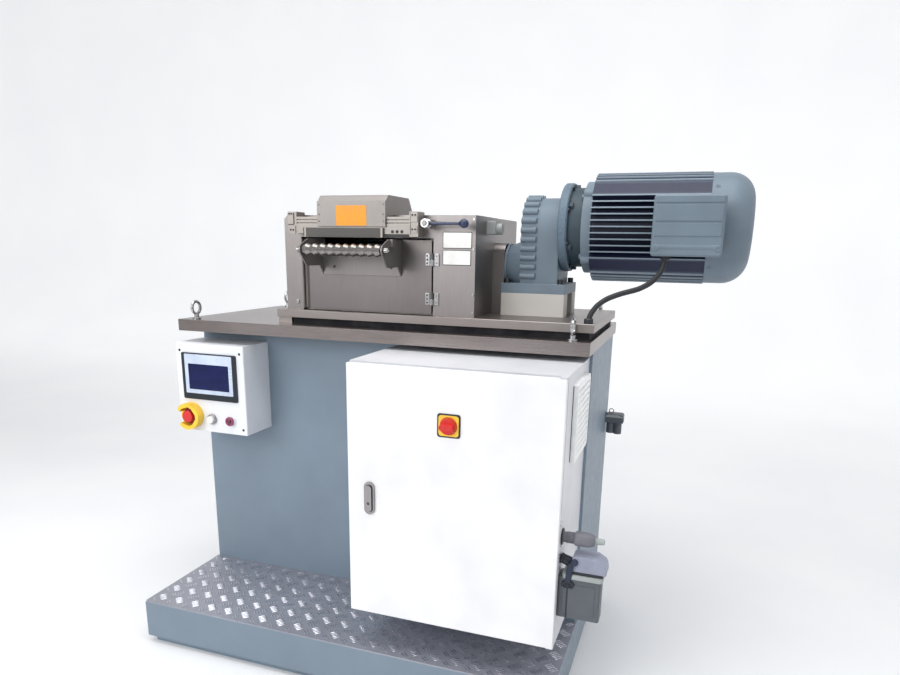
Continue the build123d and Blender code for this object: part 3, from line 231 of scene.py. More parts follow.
def tone_by_reach(name, colour, deep, stretch, offset, inner, outer):
    """Painted casting: the deep colour within a distance from a point, axis or plane, the other beyond
    it. It gives two-tone paint on the gear cover and painted shade between the motor's fins.
    """
    made, shader, where = tree_of(name)
    nodes = made.node_tree.nodes
    links = made.node_tree.links
    shifted = nodes.new("ShaderNodeMapping")
    shifted.inputs["Location"].default_value = offset
    links.new(stretched(made, where, stretch), shifted.inputs["Vector"])
    reach = nodes.new("ShaderNodeVectorMath")
    reach.operation = "LENGTH"
    links.new(shifted.outputs["Vector"], reach.inputs[0])
    beyond = spread(made, reach.outputs["Value"], 0.0, 1.0, inner, outer)
    rough = 0.5
    lumps = noise(made, where, 160.0, 5.0, 0.6)
    light = toned(made, lumps, colour, 0.9, 1.12)
    dark = toned(made, lumps, deep, 0.8, 1.2)
    links.new(blended(made, beyond, dark, light), shader.inputs["Base Color"])
    links.new(spread(made, lumps, rough * 0.85, rough * 1.15), shader.inputs["Roughness"])
    relief(made, shader, lumps, 0.2, 0.0006, 0.001)
    return made


def glassy(name, colour, rough=0.12, coat=0.6, gloss=0.5):
    """A dark display or a lens behind a clear face, with faint smears."""
    made, shader, where = tree_of(name)
    links = made.node_tree.links
    shader.inputs["Coat Weight"].default_value = coat
    shader.inputs["Specular IOR Level"].default_value = gloss
    smears = noise(made, stretched(made, where, (1.0, 1.0, 3.0)), 14.0, 5.0)
    base = toned(made, smears, colour, 0.86, 1.15)
    links.new(base, shader.inputs["Base Color"])
    links.new(spread(made, smears, rough * 0.7, rough * 1.6), shader.inputs["Roughness"])
    relief(made, shader, smears, 0.03, 0.0005)
    return made


PAINT = painted("machine_paint", srgb(120, 135, 149))
CABINET_PAINT = painted("cabinet_paint", srgb(236, 236, 238), 0.38, 0.02)
# Painted shade: the cabinet's body is painted greyer than its white door, for the shade on its side.
SHADED_BODY_PAINT = painted("cabinet_body_paint_shaded", srgb(212, 213, 217), 0.38, 0.02)
BOX_PAINT = painted("operator_box_paint", srgb(232, 234, 238), 0.38, 0.02)
TREAD = brushed("tread_metal", srgb(164, 166, 177), 0.42, (3.0, 3.0, 3.0), 0.001, 0.12, 0.5)
# Painted reflection: the warm brownish tint of the worktop, head, hood, door, infeed, roller and bed
# steels stands for a brownish room they reflect.
WORKTOP_STEEL = brushed("worktop_steel", srgb(146, 138, 136), 0.3, (1.0, 60.0, 60.0))
HEAD_STEEL = brushed("head_steel", srgb(146, 141, 140), 0.38, (60.0, 60.0, 1.0))
HOOD_STEEL = brushed("hood_steel", srgb(150, 145, 142), 0.5, (60.0, 60.0, 1.0))
# Painted reflection: the door and infeed steels are darker than the housing's, for the dark room they
# reflect.
DOOR_STEEL = brushed("door_steel", srgb(122, 117, 116), 0.36, (60.0, 1.0, 1.0))
INFEED_STEEL = brushed("infeed_steel", srgb(132, 127, 126), 0.36, (60.0, 1.0, 1.0), metal=0.7)
ROLLER_STEEL = brushed("roller_steel", srgb(150, 146, 142), 0.2, (1.0, 9.0, 9.0), 0.0004, 0.05)
BED_STEEL = brushed("bed_steel", srgb(152, 145, 142), 0.36, (1.0, 60.0, 60.0))
BRIGHT_STEEL = brushed("bright_steel", srgb(200, 200, 202), 0.2, (8.0, 8.0, 8.0), 0.0006, 0.04)
RAIL_METAL = brushed("rail_metal", srgb(164, 158, 153), 0.5, (1.0, 50.0, 50.0))
CUTTER_STEEL = brushed("cutter_steel", srgb(150, 152, 158), 0.3, (1.0, 40.0, 40.0))
GEAR_PAINT = cast("gear_paint", srgb(104, 119, 131))
MOTOR_PAINT = cast("motor_paint", srgb(106, 121, 133))
DARK_PAINT = cast("dark_motor_paint", srgb(38, 58, 72))
FAN_LOW, FAN_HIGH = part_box("fan_cover")
COVER_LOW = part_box("gear_cover")[0]
FIN_TIP = (FAN_HIGH.z - FAN_LOW.z) / 2
COVER_FLANGE = 0.027
# Painted shade: deep navy within the fan cover's radius of the motor's axis stands for the shade between
# the fins and under the motor; the fins' tips beyond it are light.
FIN_PAINT_SHADED = tone_by_reach(
    "fin_paint_shaded", srgb(120, 134, 146), srgb(20, 27, 56), (0.0, 1.0, 1.0),
    (0, -(FAN_LOW.y + FAN_HIGH.y) / 2, -(FAN_LOW.z + FAN_HIGH.z) / 2),
    FIN_TIP - 0.002, FIN_TIP + 0.002,
)
COVER_PAINT = tone_by_reach(
    "cover_paint", srgb(40, 58, 68), srgb(88, 106, 120), (1.0, 0.0, 0.0),
    (0, 0, 0), COVER_LOW.x + COVER_FLANGE - 0.0002, COVER_LOW.x + COVER_FLANGE + 0.0004,
)
STAND_PAINT = painted("stand_paint", srgb(190, 186, 180), 0.5)
RUBBER = moulded("black_rubber", srgb(15, 14, 20), 0.85, 400.0)
BLACK_PLASTIC = moulded("black_plastic", srgb(36, 38, 42), 0.42)
GREY_PLASTIC = moulded("grey_plastic", srgb(150, 153, 152), 0.5)
DARK_GREY_PLASTIC = moulded("dark_grey_plastic", srgb(86, 92, 98), 0.5)
WHITE_PLASTIC = moulded("white_plastic", srgb(234, 234, 230), 0.4)
VENT_PLASTIC = moulded("vent_plastic", srgb(250, 250, 249), 0.4)
CABLE_JACKET = moulded("cable_jacket", srgb(34, 36, 40), 0.5, 500.0)
YELLOW_PLASTIC = moulded("yellow_plastic", srgb(244, 200, 60), 0.4)
RED_PLASTIC = moulded("red_plastic", srgb(206, 42, 40), 0.36)
GALVANISED = brushed("galvanised_plate", srgb(188, 192, 196), 0.4, (6.0, 6.0, 6.0))
# Painted highlight: the tread's bars are painted lighter than the plate they belong to.
TREAD_BAR_HIGHLIT = brushed("tread_bar", srgb(206, 208, 216), 0.24, (3.0, 3.0, 3.0))
DARK_STEEL = brushed("dark_steel", srgb(70, 72, 78), 0.34, (6.0, 6.0, 6.0))
STRIP_PLASTIC = moulded("strip_plastic", srgb(78, 75, 73), 0.5)
BEIGE_PLASTIC = moulded("beige_plastic", srgb(160, 166, 165), 0.5)
LAVENDER_PLASTIC = moulded("lavender_plastic", srgb(146, 150, 168), 0.42)
NAVY_PLASTIC = moulded("navy_plastic", srgb(26, 38, 60), 0.36)
DEEP_ORANGE_PLASTIC = moulded("deep_orange_plastic", srgb(206, 84, 34), 0.45)
DARK_RED_PLASTIC = moulded("dark_red_plastic", srgb(140, 26, 28), 0.4)
DARK_BLUE_PLASTIC = moulded("dark_blue_plastic", srgb(34, 44, 78), 0.3, 700.0, 0.3)
ORANGE_PLASTIC = moulded("orange_plastic", srgb(234, 150, 12), 0.42)
PALE_BLUE_PLASTIC = moulded("pale_blue_plastic", srgb(196, 207, 226), 0.38)
PALE_GREY_PLASTIC = moulded("pale_grey_plastic", srgb(176, 190, 208), 0.4)
LOCK_METAL = brushed("lock_metal", srgb(164, 160, 162), 0.36, (20.0, 20.0, 2.0), 0.0006)
PLUG_GREY = moulded("plug_grey", srgb(112, 112, 120), 0.46)
BEZEL_PLASTIC = moulded("bezel_plastic", srgb(16, 27, 36), 0.4)
SEAL_GREY = moulded("seal_grey", srgb(150, 143, 140), 0.6)
DISPLAY = glassy("display_glass", srgb(12, 24, 74), 0.14, coat=0.1, gloss=0.3)
LAMP_LENS = glassy("lamp_rim_red", srgb(150, 60, 100), 0.2)
LAMP_CORE = glassy("lamp_core_red", srgb(84, 8, 36), 0.14)

NODE_FINISH = {
    "base_platform": PAINT,
    "tread_plate": TREAD,
    "pedestal": PAINT,
    "worktop": WORKTOP_STEEL,
    "rubber_mat": RUBBER,
    "bed_plate": BED_STEEL,
    "front_eyes": BRIGHT_STEEL,
    "rear_eyes": BRIGHT_STEEL,
    "head_housing": HEAD_STEEL,
    "head_door": DOOR_STEEL,
    "head_hinges": BRIGHT_STEEL,
    "strand_infeed": INFEED_STEEL,
    "guide_roller": ROLLER_STEEL,
    "crossbar": RAIL_METAL,
    "rail_blocks": RAIL_METAL,
    "feed_hood": HOOD_STEEL,
    "strand_strip": STRIP_PLASTIC,
    "clamp_lever": BRIGHT_STEEL,
    "hood_switch": GREY_PLASTIC,
    "cutting_rotor": CUTTER_STEEL,
    "coupling_guard": HEAD_STEEL,
    "gear_stand": STAND_PAINT,
    "gear_case": GEAR_PAINT,
    "gear_cover": COVER_PAINT,
    "motor_shield": MOTOR_PAINT,
    "motor_stator": FIN_PAINT_SHADED,
    "fan_cover": MOTOR_PAINT,
    "terminal_box": MOTOR_PAINT,
    "cable_glands": BLACK_PLASTIC,
    "motor_cable": CABLE_JACKET,
    "operator_box": BOX_PAINT,
    "screen_panel": BEZEL_PLASTIC,
    "stop_collar": YELLOW_PLASTIC,
    "stop_button": RED_PLASTIC,
    "push_button": WHITE_PLASTIC,
    "cabinet_body": SHADED_BODY_PAINT,
    "mounting_plate": GALVANISED,
    "cabinet_door": CABINET_PAINT,
    "door_lock": BRIGHT_STEEL,
    "switch_plate": YELLOW_PLASTIC,
    "switch_handle": RED_PLASTIC,
    "vent_grille": VENT_PLASTIC,
    "side_plug": DARK_GREY_PLASTIC,
    "power_connector": DARK_GREY_PLASTIC,
    "rear_fitting": DARK_GREY_PLASTIC,
}


def finish_nodes():
    """Gives each CAD node the material that it has in life."""
    for name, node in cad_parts.items():
        for slot in range(len(node.data.materials)):
            node.data.materials[slot] = NODE_FINISH[name]
        if not node.data.materials:
            node.data.materials.append(NODE_FINISH[name])


# Shapes: small helpers, all in millimetres


def span(node):
    """A node's lowest and highest corners in millimetres."""
    low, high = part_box(node)
    return low / MM, high / MM


HEAD_FRONT = span("head_hinges")[1].y
BOX_FRONT = span("screen_panel")[1].y
FACINGS = {
    "front": ((0, -1, 0), (0, 0, 1)),
    "left": ((-1, 0, 0), (0, 0, 1)),
    "right": ((1, 0, 0), (0, 0, 1)),
    "up": ((0, 0, 1), (0, 1, 0)),
}


def seat(x, y, z, facing="front"):
    """A place on a face: its z axis leaves the face and its y axis points up or back."""
    away, tall = (Vector(axis) for axis in FACINGS[facing])
    turn = Matrix((tall.cross(away), tall, away)).transposed().to_4x4()
    return Matrix.Translation((x, y, z)) @ turn


def rounded(width, height, corner, steps=4):
    """The outline of a rectangle with round corners, centred."""
    points = []
    for turn, (side, rise) in enumerate(((1, 1), (-1, 1), (-1, -1), (1, -1))):
        middle = (side * (width / 2 - corner), rise * (height / 2 - corner))
        for step in range(steps + 1):
            angle = math.radians(90 * (turn + step / steps))
            points.append((middle[0] + corner * math.cos(angle), middle[1] + corner * math.sin(angle)))
    return points


def stadium(width, height):
    """The outline of an upright slot with round ends."""
    return rounded(width, height, width / 2 - 0.01, 12)


def circle(radius, steps=32):
    """The outline of a circle."""
    angles = [math.radians(360 * step / steps) for step in range(steps)]
    return [(radius * math.cos(angle), radius * math.sin(angle)) for angle in angles]


def around(x, centre, radius, count, first):
    """The spots of a ring of bolts about an axis along x."""
    for index in range(count):
        angle = math.radians(first + 360 * index / count)
        yield x, centre.y + radius * math.cos(angle), centre.z + radius * math.sin(angle)


class Shape:
    """Solids gathered in one mesh."""

    def __init__(self):
        self.mesh = bmesh.new()

    def take(self, part, place):
        """Moves a part to its place and adds it."""
        bmesh.ops.recalc_face_normals(part, faces=part.faces)
        bmesh.ops.transform(part, matrix=place, verts=part.verts)
        data = bpy.data.meshes.new("part")
        part.to_mesh(data)
        part.free()
        self.mesh.from_mesh(data)
        bpy.data.meshes.remove(data)

    def plate(self, place, outline, depth, soft=0.5, steps=2):
        """An outline raised from the face, with a soft rim."""
        part = bmesh.new()
        low = [part.verts.new((x, y, 0)) for x, y in outline]
        high = [part.verts.new((x, y, depth)) for x, y in outline]
        part.faces.new(low)
        top = part.faces.new(high)
        for index, corner in enumerate(low):
            after = (index + 1) % len(low)
            part.faces.new((corner, low[after], high[after], high[index]))
        if soft:
            bmesh.ops.bevel(
                part, geom=list(top.edges), offset=soft, segments=steps, profile=0.5,
                affect="EDGES", clamp_overlap=True,
            )
        self.take(part, place)

    def slab(self, place, width, height, depth, corner=1.0, soft=0.5):
        """A block on the face with round corners and a soft rim."""
        self.plate(place, rounded(width, height, corner), depth, soft)

    def turned(self, place, profile, steps=32, hollow=False):
        """A profile of (radius, height) turned about the place's z axis, as a ring if hollow."""
        part = bmesh.new()
        rings = []
        for radius, height in profile:
            if radius:
                rings.append([part.verts.new((x, y, height)) for x, y in circle(radius, steps)])
            else:
                rings.append([part.verts.new((0, 0, height))])
        for below, above in zip(rings, rings[1:] + rings[:1] if hollow else rings[1:]):
            for index in range(steps):
                after = (index + 1) % steps
                if len(below) == 1:
                    part.faces.new((below[0], above[index], above[after]))
                elif len(above) == 1:
                    part.faces.new((below[index], below[after], above[0]))
                else:
                    part.faces.new((below[index], below[after], above[after], above[index]))
        for ring in (rings[0], rings[-1]):
            if len(ring) > 1 and not hollow:
                part.faces.new(ring)
        self.take(part, place)

    def rod(self, start, end, radius, tip=None, soft=0.6, steps=20):
        """A rod from point to point; it may taper to a thinner tip."""
        start, end = Vector(start), Vector(end)
        along = end - start
        tip = radius if tip is None else tip
        turn = along.to_track_quat("Z", "Y").to_matrix().to_4x4()
        length = along.length
        profile = [(radius - soft, 0), (radius, soft), (tip, length - soft), (tip - soft, length)]
        self.turned(Matrix.Translation(start) @ turn, profile, steps)

    def cap_screw(self, place, radius, height):
        """A socket head screw."""
        rim = radius * 0.14
        hole = radius * 0.55
        profile = [(radius, 0), (radius, height - rim), (radius - rim, height), (hole, height)]
        self.turned(place, profile + [(hole * 0.9, height * 0.35), (0, height * 0.3)], 20)

    def flat_screw(self, place, radius):
        """A countersunk screw: a low dish with a recess."""
        profile = [(radius, 0), (radius * 0.95, 0.35), (radius * 0.45, 0.5)]
        self.turned(place, profile + [(radius * 0.38, 0.1), (0, 0.1)], 16)

    def hex_bolt(self, place, radius, height=None):
        """A hexagon head on a washer."""
        height = height or radius * 0.8
        washer, thick = radius * 1.35, 1.5
        self.turned(place, [(washer, 0), (washer, 1.2), (radius * 1.25, thick), (0, thick)], 24)
        raised = place @ Matrix.Translation((0, 0, thick))
        self.plate(raised, circle(radius * 1.1, 6), height, radius * 0.1, 1)

    def make(self, name, material, body="frame", slot=None, replaces=()):
        """Turns the shape into a piece that rides on a body."""
        bmesh.ops.transform(self.mesh, matrix=Matrix.Scale(MM, 4), verts=self.mesh.verts)
        data = bpy.data.meshes.new(name)
        self.mesh.to_mesh(data)
        self.mesh.free()
        data.shade_smooth()
        data.set_sharp_from_angle(angle=math.radians(35))
        data.materials.append(material)
        piece = bpy.data.objects.new(name, data)
        bpy.context.scene.collection.objects.link(piece)
        flat = piece.modifiers.new("flat_faces", "WEIGHTED_NORMAL")
        flat.keep_sharp = True
        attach(piece, body)
        if replaces:
            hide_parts(*replaces)


# Base and worktop


def tread_bars():
    """Five-bar tread: groups of five raised bars that turn by a quarter from one to the next."""
    low, high = span("tread_plate")
    pitch, spacing, length, width, rise = 65.0, 8.2, 28.0, 4.4, 1.4
    first = Vector((low.x + 525, low.y + 140))
    reach = length * 0.36 + 2
    ring = [(-0.5, 0.0), (-0.42, 0.42), (0.42, 0.42), (0.5, 0.0), (0.42, -0.42), (-0.42, -0.42)]
    crest = [(-0.36, 0.0), (-0.3, 0.2), (0.3, 0.2), (0.36, 0.0), (0.3, -0.2), (-0.3, -0.2)]
    points, faces = [], []
    columns = range(math.floor((low.x - first.x) / pitch) - 1, math.ceil((high.x - first.x) / pitch) + 2)
    rows = range(math.floor((low.y - first.y) / pitch) - 1, math.ceil((high.y - first.y) / pitch) + 2)
    for column in columns:
        for row in rows:
            for shift, angle in ((0.0, -45.0), (0.5, 45.0)):
                centre = first + Vector((column + shift, row + shift)) * pitch
                along = Vector((math.cos(math.radians(angle)), math.sin(math.radians(angle))))
                across = Vector((-along.y, along.x))
                for bar in range(-2, 3):
                    middle = centre + across * spacing * bar
                    if not low.x + reach < middle.x < high.x - reach:
                        continue
                    if not low.y + reach < middle.y < high.y - reach:
                        continue
                    base = len(points)
                    for outline, height in ((ring, 0.0), (crest, rise)):
                        for lengthwise, sidewise in outline:
                            spot = middle + along * length * lengthwise + across * width * sidewise
                            points.append((spot.x * MM, spot.y * MM, (high.z + height) * MM))
                    for side in range(6):
                        after = (side + 1) % 6
                        faces.append((base + after, base + side, base + side + 6, base + after + 6))
                    faces.append(tuple(base + 6 + side for side in reversed(range(6))))
    data = bpy.data.meshes.new("tread_bars")
    data.from_pydata(points, [], faces)
    data.shade_smooth()
    data.set_sharp_from_angle(angle=math.radians(50))
    # The bars take the lighter tread colour, a painted highlight.
    data.materials.append(TREAD_BAR_HIGHLIT)
    piece = bpy.data.objects.new("tread_bars", data)
    bpy.context.scene.collection.objects.link(piece)
    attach(piece, "frame")


def tread_screws():
    """Countersunk screws that hold the tread plate to the base."""
    low, high = span("tread_plate")
    inset, back_inset = 37, 140
    shape = Shape()
    for x in (low.x + inset, (low.x + high.x) / 2, high.x - inset):
        for y in (low.y + inset, high.y - back_inset):
            shape.flat_screw(seat(x, y, high.z, "up"), 7)
    shape.make("tread_screws", BRIGHT_STEEL, slot="tread_metal")


def worktop_edge_highlights():
    """Bright rods along the worktop's edges where its sheet is folded down, a painted highlight."""
    low, high = span("worktop")
    shape = Shape()
    inset = 1.4
    left, right, near, far = low.x + inset, high.x - inset, low.y + inset, high.y - inset
    corners = ((left, near), (right, near), (right, far), (left, far))
    spots = [(x, y, high.z - inset) for x, y in corners]
    for start, end in zip(spots, spots[1:] + spots[:1]):
        shape.rod(start, end, inset, soft=0.3, steps=12)
    # Painted highlight: thin rods in bright steel along the edges.
    shape.make("worktop_edge_highlights", BRIGHT_STEEL, slot="bright_steel")


# Head


def lever_parts():
    """The clamp lever: a bright hub with a shallow recess in its end, and a dark blue arm and ball."""
    low, high = span("clamp_lever")
    rim, waist, thick = 13, 11.5, high.y - low.y
    axis_x, axis_z = low.x + rim, (low.z + high.z) / 2
    hub = Shape()
    profile = [
        (8, 0), (rim, 1.2), (rim, 9), (waist, 10.5), (waist, 20), (rim, 21.5),
        (rim, thick - 1.5), (waist, thick), (7.5, thick), (6.5, thick - 2), (0, thick - 2),
    ]
    hub.turned(seat(axis_x, high.y, axis_z), profile)
    hub.make("lever_hub", BRIGHT_STEEL, "clamp_lever", "bright_steel", ("clamp_lever",))
    arm = Shape()
    level = (low.y + high.y) / 2
    arm.rod((axis_x + 12, level, axis_z), (high.x - 20, level, axis_z), 5, 4, 0.5)
    ball_r, neck, steps = 13.4, 2, 16
    ball = [(3.5, 0), (5.5, 0.8), (6.5, 2.6)]
    for step in range(2, steps + 1):
        angle = math.radians(180 * step / steps)
        across = ball_r * math.sin(angle) if step < steps else 0
        ball.append((across, neck + ball_r - ball_r * math.cos(angle)))
    turn = Vector((1, 0, 0)).to_track_quat("Z", "Y").to_matrix().to_4x4()
    foot = high.x - 2 * ball_r - neck - 0.4
    arm.turned(Matrix.Translation((foot, level, axis_z)) @ turn, ball, 28)
    arm.make("lever_arm", DARK_BLUE_PLASTIC, "clamp_lever", "bright_steel", ("clamp_lever",))


def head_fastenings():
    """Screws in the housing's front face and in the feed hood."""
    low, high = span("head_housing")
    screws = Shape()
    for drop in (95, 226, 280, 12):
        screws.cap_screw(seat(high.x - 6, HEAD_FRONT, high.z - drop), 3.6, 2.4)
    for rise, radius, height in ((25, 6, 5), (190, 4.5, 3)):
        screws.cap_screw(seat(low.x + 39.4, HEAD_FRONT, low.z + rise), radius, height)
    screws.make("head_screws", BRIGHT_STEEL, slot="bright_steel")
    low, high = span("feed_hood")
    flush = Shape()
    for rise in (15, 35, 63):
        for x in (high.x - 6, low.x + 6):
            flush.cap_screw(seat(x, low.y, low.z + rise), 2.6, 1.4)
    flush.make("cover_screws", HOOD_STEEL, slot="bright_steel")


def hinge_parts():
    """Screws in the hinges' fixed leaves, and plates, screws and knuckles beside them."""
    low, high = span("head_hinges")
    half_height, leaf_front, knuckle_r = 18, low.y + 10, 4.2
    axis_x, axis_y = low.x + 3.5, HEAD_FRONT - 3.6
    leaf, wings, heads, knuckles = Shape(), Shape(), Shape(), Shape()
    for middle in (low.z + half_height, high.z - half_height):
        for rise in (-10, 10):
            leaf.flat_screw(seat(high.x - 6.5, leaf_front, middle + rise), 3)
        wings.slab(seat(low.x - 8, leaf_front + 0.2, middle), 13.6, 35, 0.9, 1.5, 0.4)
        for rise in (-11, 0, 11):
            heads.cap_screw(seat(low.x - 9, leaf_front - 0.7, middle + rise), 2.6, 0.9)
        for bottom, top in ((-17, -7), (7, 17)):
            start = (axis_x, axis_y, middle + bottom)
            knuckles.rod(start, (axis_x, axis_y, middle + top), knuckle_r)
    leaf.make("hinge_screws", RAIL_METAL, slot="bright_steel")
    wings.make("door_hinge_leaves", BRIGHT_STEEL, "head_door", "bright_steel")
    heads.make("door_hinge_screws", DARK_STEEL, "head_door", "bright_steel")
    knuckles.make("hinge_knuckles", BRIGHT_STEEL, slot="bright_steel")


def door_edge():
    """The folded edge of the door, slanted to catch the light and in a lighter steel than the door's as
    a painted highlight, and the grey seal on the housing beside it.
    """
    low, high = span("head_door")
    bend, depth, thick = 21, 9, 0.9
    slant = Vector((bend, -depth)).normalized()
    outward = Vector((slant.y, -slant.x)) * thick
    corner = Vector((low.x, HEAD_FRONT + depth))
    foot = [corner + slant * along for along in (1, 11)]
    outline = [foot[0], foot[1], foot[1] + outward, foot[0] + outward]
    edge = Shape()
    place = Matrix.Translation((0, 0, low.z + 2))
    edge.plate(place, [tuple(point) for point in outline], high.z - low.z - 4, 0)
    # Painted highlight: the fold takes a lighter steel than the door.
    edge.make("door_edge", RAIL_METAL, "head_door", "bright_steel")
    seal = Shape()
    middle = (low.z + high.z) / 2
    seal.slab(seat(low.x - 4.1, HEAD_FRONT + 10, middle), 1.8, high.z - low.z, 9.4, 0.6, 0.3)
    seal.make("door_seal", SEAL_GREY, slot="black_plastic")


def infeed_details():
    """Screws in the infeed's apron and cheeks, and the roller's end caps."""
    low, high = span("strand_infeed")
    apron = 3
    screws = Shape()
    for x in (low.x + 42, high.x - 42):
        screws.cap_screw(seat(x, HEAD_FRONT - apron, low.z + 24), 3.4, 2.4)
    screws.cap_screw(seat(low.x + 6, HEAD_FRONT, high.z - 22), 2.6, 2)
    screws.make("apron_screws", DARK_STEEL, "head_door", "bright_steel")
    low, high = span("guide_roller")
    middle = (low + high) / 2
    caps = Shape()
    cap = [(7.5, 0), (7.5, 1.4), (6.4, 2.6), (3.4, 2.8), (3.0, 1.6), (0, 1.6)]
    for x, facing in ((low.x, "left"), (high.x, "right")):
        caps.turned(seat(x, middle.y, middle.z, facing), cap, 24)
    caps.make("roller_caps", BRIGHT_STEEL, "guide_roller", "bright_steel")


def strip_details():
    """A black strip under the crossbar's right end as painted shadow in the gap there, and tabs at the
    strip's ends.
    """
    low, high = span("crossbar")
    seal = Shape()
    # Painted shadow: a black strip where the gap under the crossbar is in shade.
    seal.slab(seat(high.x - 28, low.y + 3, low.z - 3), 84, 7, 2, 1, 0.3)
    seal.make("rail_gap_shadow", BLACK_PLASTIC, slot="black_plastic")
    low, high = span("strand_strip")
    tabs = Shape()
    for x in (low.x + 8, high.x - 5):
        tabs.slab(seat(x, low.y, (low.z + high.z) / 2), 7, high.z - low.z, 1.6, 1, 0.4)
    tabs.make("strip_tabs", RAIL_METAL, slot="rail_metal")


def label_plates():
    """Two bare pale plates with a thin dark rim beside the door."""
    right = span("head_housing")[1].x
    top = span("head_door")[1].z
    rim, thick = 2, 0.6
    plates, rims = Shape(), Shape()
    for inset, rise, width, height in ((56, 0.5, 90, 47), (57, -49, 88, 44)):
        x, z = right - inset, top + rise
        rims.slab(seat(x, HEAD_FRONT, z), width, height, thick, 3, 0.2)
        face = seat(x, HEAD_FRONT - thick, z)
        plates.slab(face, width - 2 * rim, height - 2 * rim, 0.5, 2, 0.2)
    rims.make("label_rims", BLACK_PLASTIC, slot="black_plastic")
    plates.make("label_plates", WHITE_PLASTIC, slot="white_plastic")


def cover_label():
    """A bare orange plate on the feed hood."""
    low, high = span("feed_hood")
    width, height = 100, 58
    shape = Shape()
    shape.slab(seat((low.x + high.x) / 2 + 1.5, low.y, low.z + 31), width, height, 0.7, 2, 0.3)
    shape.make("cover_label", ORANGE_PLASTIC, slot="yellow_plastic")


def rail_details():
    """Dark guide sockets in the crossbar, and plates, screws and joints on its end blocks."""
    low, high = span("crossbar")
    sockets = Shape()
    socket = [(4.6, 0), (4.6, 0.5), (3.9, 0.9), (3.2, 0.9), (2.6, 0.2), (0, 0.2)]
    for inset in (53, 38, 23):
        sockets.turned(seat(high.x - inset, low.y, low.z + 7), socket, 20)
    sockets.make("rail_sockets", BLACK_PLASTIC, slot="black_plastic")
    low, high = span("rail_blocks")
    face, proud = low.y, 2.6
    plates, marks, gaps = Shape(), Shape(), Shape()
    # Each plate: its middle, its width and height, and its two screws' x and z
    for x, z, width, height, screws_x, screw_z in (
        (high.x - 12, high.z - 16, 21, 27, (high.x - 17, high.x - 8), high.z - 10),
        (high.x - 12, low.z + 21, 19, 20, (high.x - 17, high.x - 8), low.z + 21),
        (low.x + 11, high.z - 20, 20, 33, (low.x + 7, low.x + 15), high.z - 7),
        (low.x + 16, low.z + 17, 22, 24, (low.x + 11, low.x + 20), low.z + 17),
    ):
        plates.slab(seat(x, face, z), width, height, proud, 1.5, 0.5)
        for screw_x in screws_x:
            marks.cap_screw(seat(screw_x, face - proud, screw_z), 2.6, 1.8)
    plates.make("rail_plates", RAIL_METAL, slot="rail_metal")
    marks.make("rail_screws", DARK_STEEL, slot="black_plastic")
    line = 1.6
    for x, z, width, height in (
        (high.x - 23.5, high.z - 34, line, 62),
        (low.x + 22.5, high.z - 20, line, 34),
        (low.x + 11, high.z - 38.5, 22, line),
    ):
        gaps.slab(seat(x, face, z), width, height, 0.4, 0.5, 0.1)
    gaps.make("rail_joints", BLACK_PLASTIC, slot="black_plastic")


# Motor and gear


def terminal_lid():
    """The lid of the terminal box: raised fields with steps between, and a rolled lower lip."""
    low, high = span("terminal_box")
    middle = (low.x + high.x) / 2
    width = high.x - low.x - 12
    shape = Shape()
    for top, bottom in ((3, 20), (23, 66), (70, 104)):
        level = high.z - (top + bottom) / 2
        shape.slab(seat(middle, low.y + 1, level), width, bottom - top, 3.2, 2.5, 1.4)
    lip_y, lip_z, lip_r = low.y + 9, low.z + 24, 11
    shape.rod((low.x + 4, lip_y, lip_z), (high.x - 4, lip_y, lip_z), lip_r, soft=4, steps=28)
    boss = [(9, 0), (9, 4), (7.5, 6), (5, 6), (4.5, 3.5), (0, 3.5)]
    for x in (low.x + 12, high.x - 12):
        shape.turned(seat(x, low.y + 4, low.z + 22), boss, 24)
    shape.make("terminal_lid", MOTOR_PAINT, slot="gear_paint")


def motor_fastenings():
    """Bolts round the end shield, the fan cover and the gear unit's cover."""
    low, high = span("motor_shield")
    centre = (low + high) / 2
    shape = Shape()
    for spot in around(low.x, centre, 118, 4, 45):
        shape.hex_bolt(seat(*spot, "left"), 8)
    low, high = span("fan_cover")
    button = [(6, 0), (6, 1.4), (4.6, 2.2), (2.6, 2.2), (2.4, 1), (0, 1)]
    for spot in around(low.x + 14, centre, (high.y - low.y) / 2, 4, 45):
        away = Vector((0, spot[1] - centre.y, spot[2] - centre.z)).normalized()
        turn = away.to_track_quat("Z", "Y").to_matrix().to_4x4()
        shape.turned(Matrix.Translation(Vector(spot) - away * 0.6) @ turn, button, 18)
    shape.make("motor_bolts", MOTOR_PAINT, slot="gear_paint")
    low, high = span("gear_cover")
    studs = Shape()
    for spot in around(high.x - 42, (low + high) / 2, 116, 6, 90):
        studs.hex_bolt(seat(*spot, "right"), 9, 12)
    studs.make("cover_bolts", DARK_PAINT, slot="gear_paint")


def gear_fastenings():
    """Screws round the cover's flange and in the feet of the gear case."""
    low, high = span("gear_cover")
    shape = Shape()
    for spot in around(low.x + COVER_FLANGE / MM, (low + high) / 2, 122, 8, 22.5):
        shape.cap_screw(seat(*spot, "right"), 5.5, 5)
    shape.make("gear_screws", DARK_STEEL, slot="bright_steel")
    low, high = span("gear_stand")
    foot_thick = 30
    feet = Shape()
    for x in (low.x + 16, high.x - 16):
        for y in (low.y + 14, high.y - 14):
            feet.cap_screw(seat(x, y, high.z + foot_thick, "up"), 9, 14)
    feet.make("gear_foot_screws", DARK_STEEL, slot="bright_steel")


# Operator box


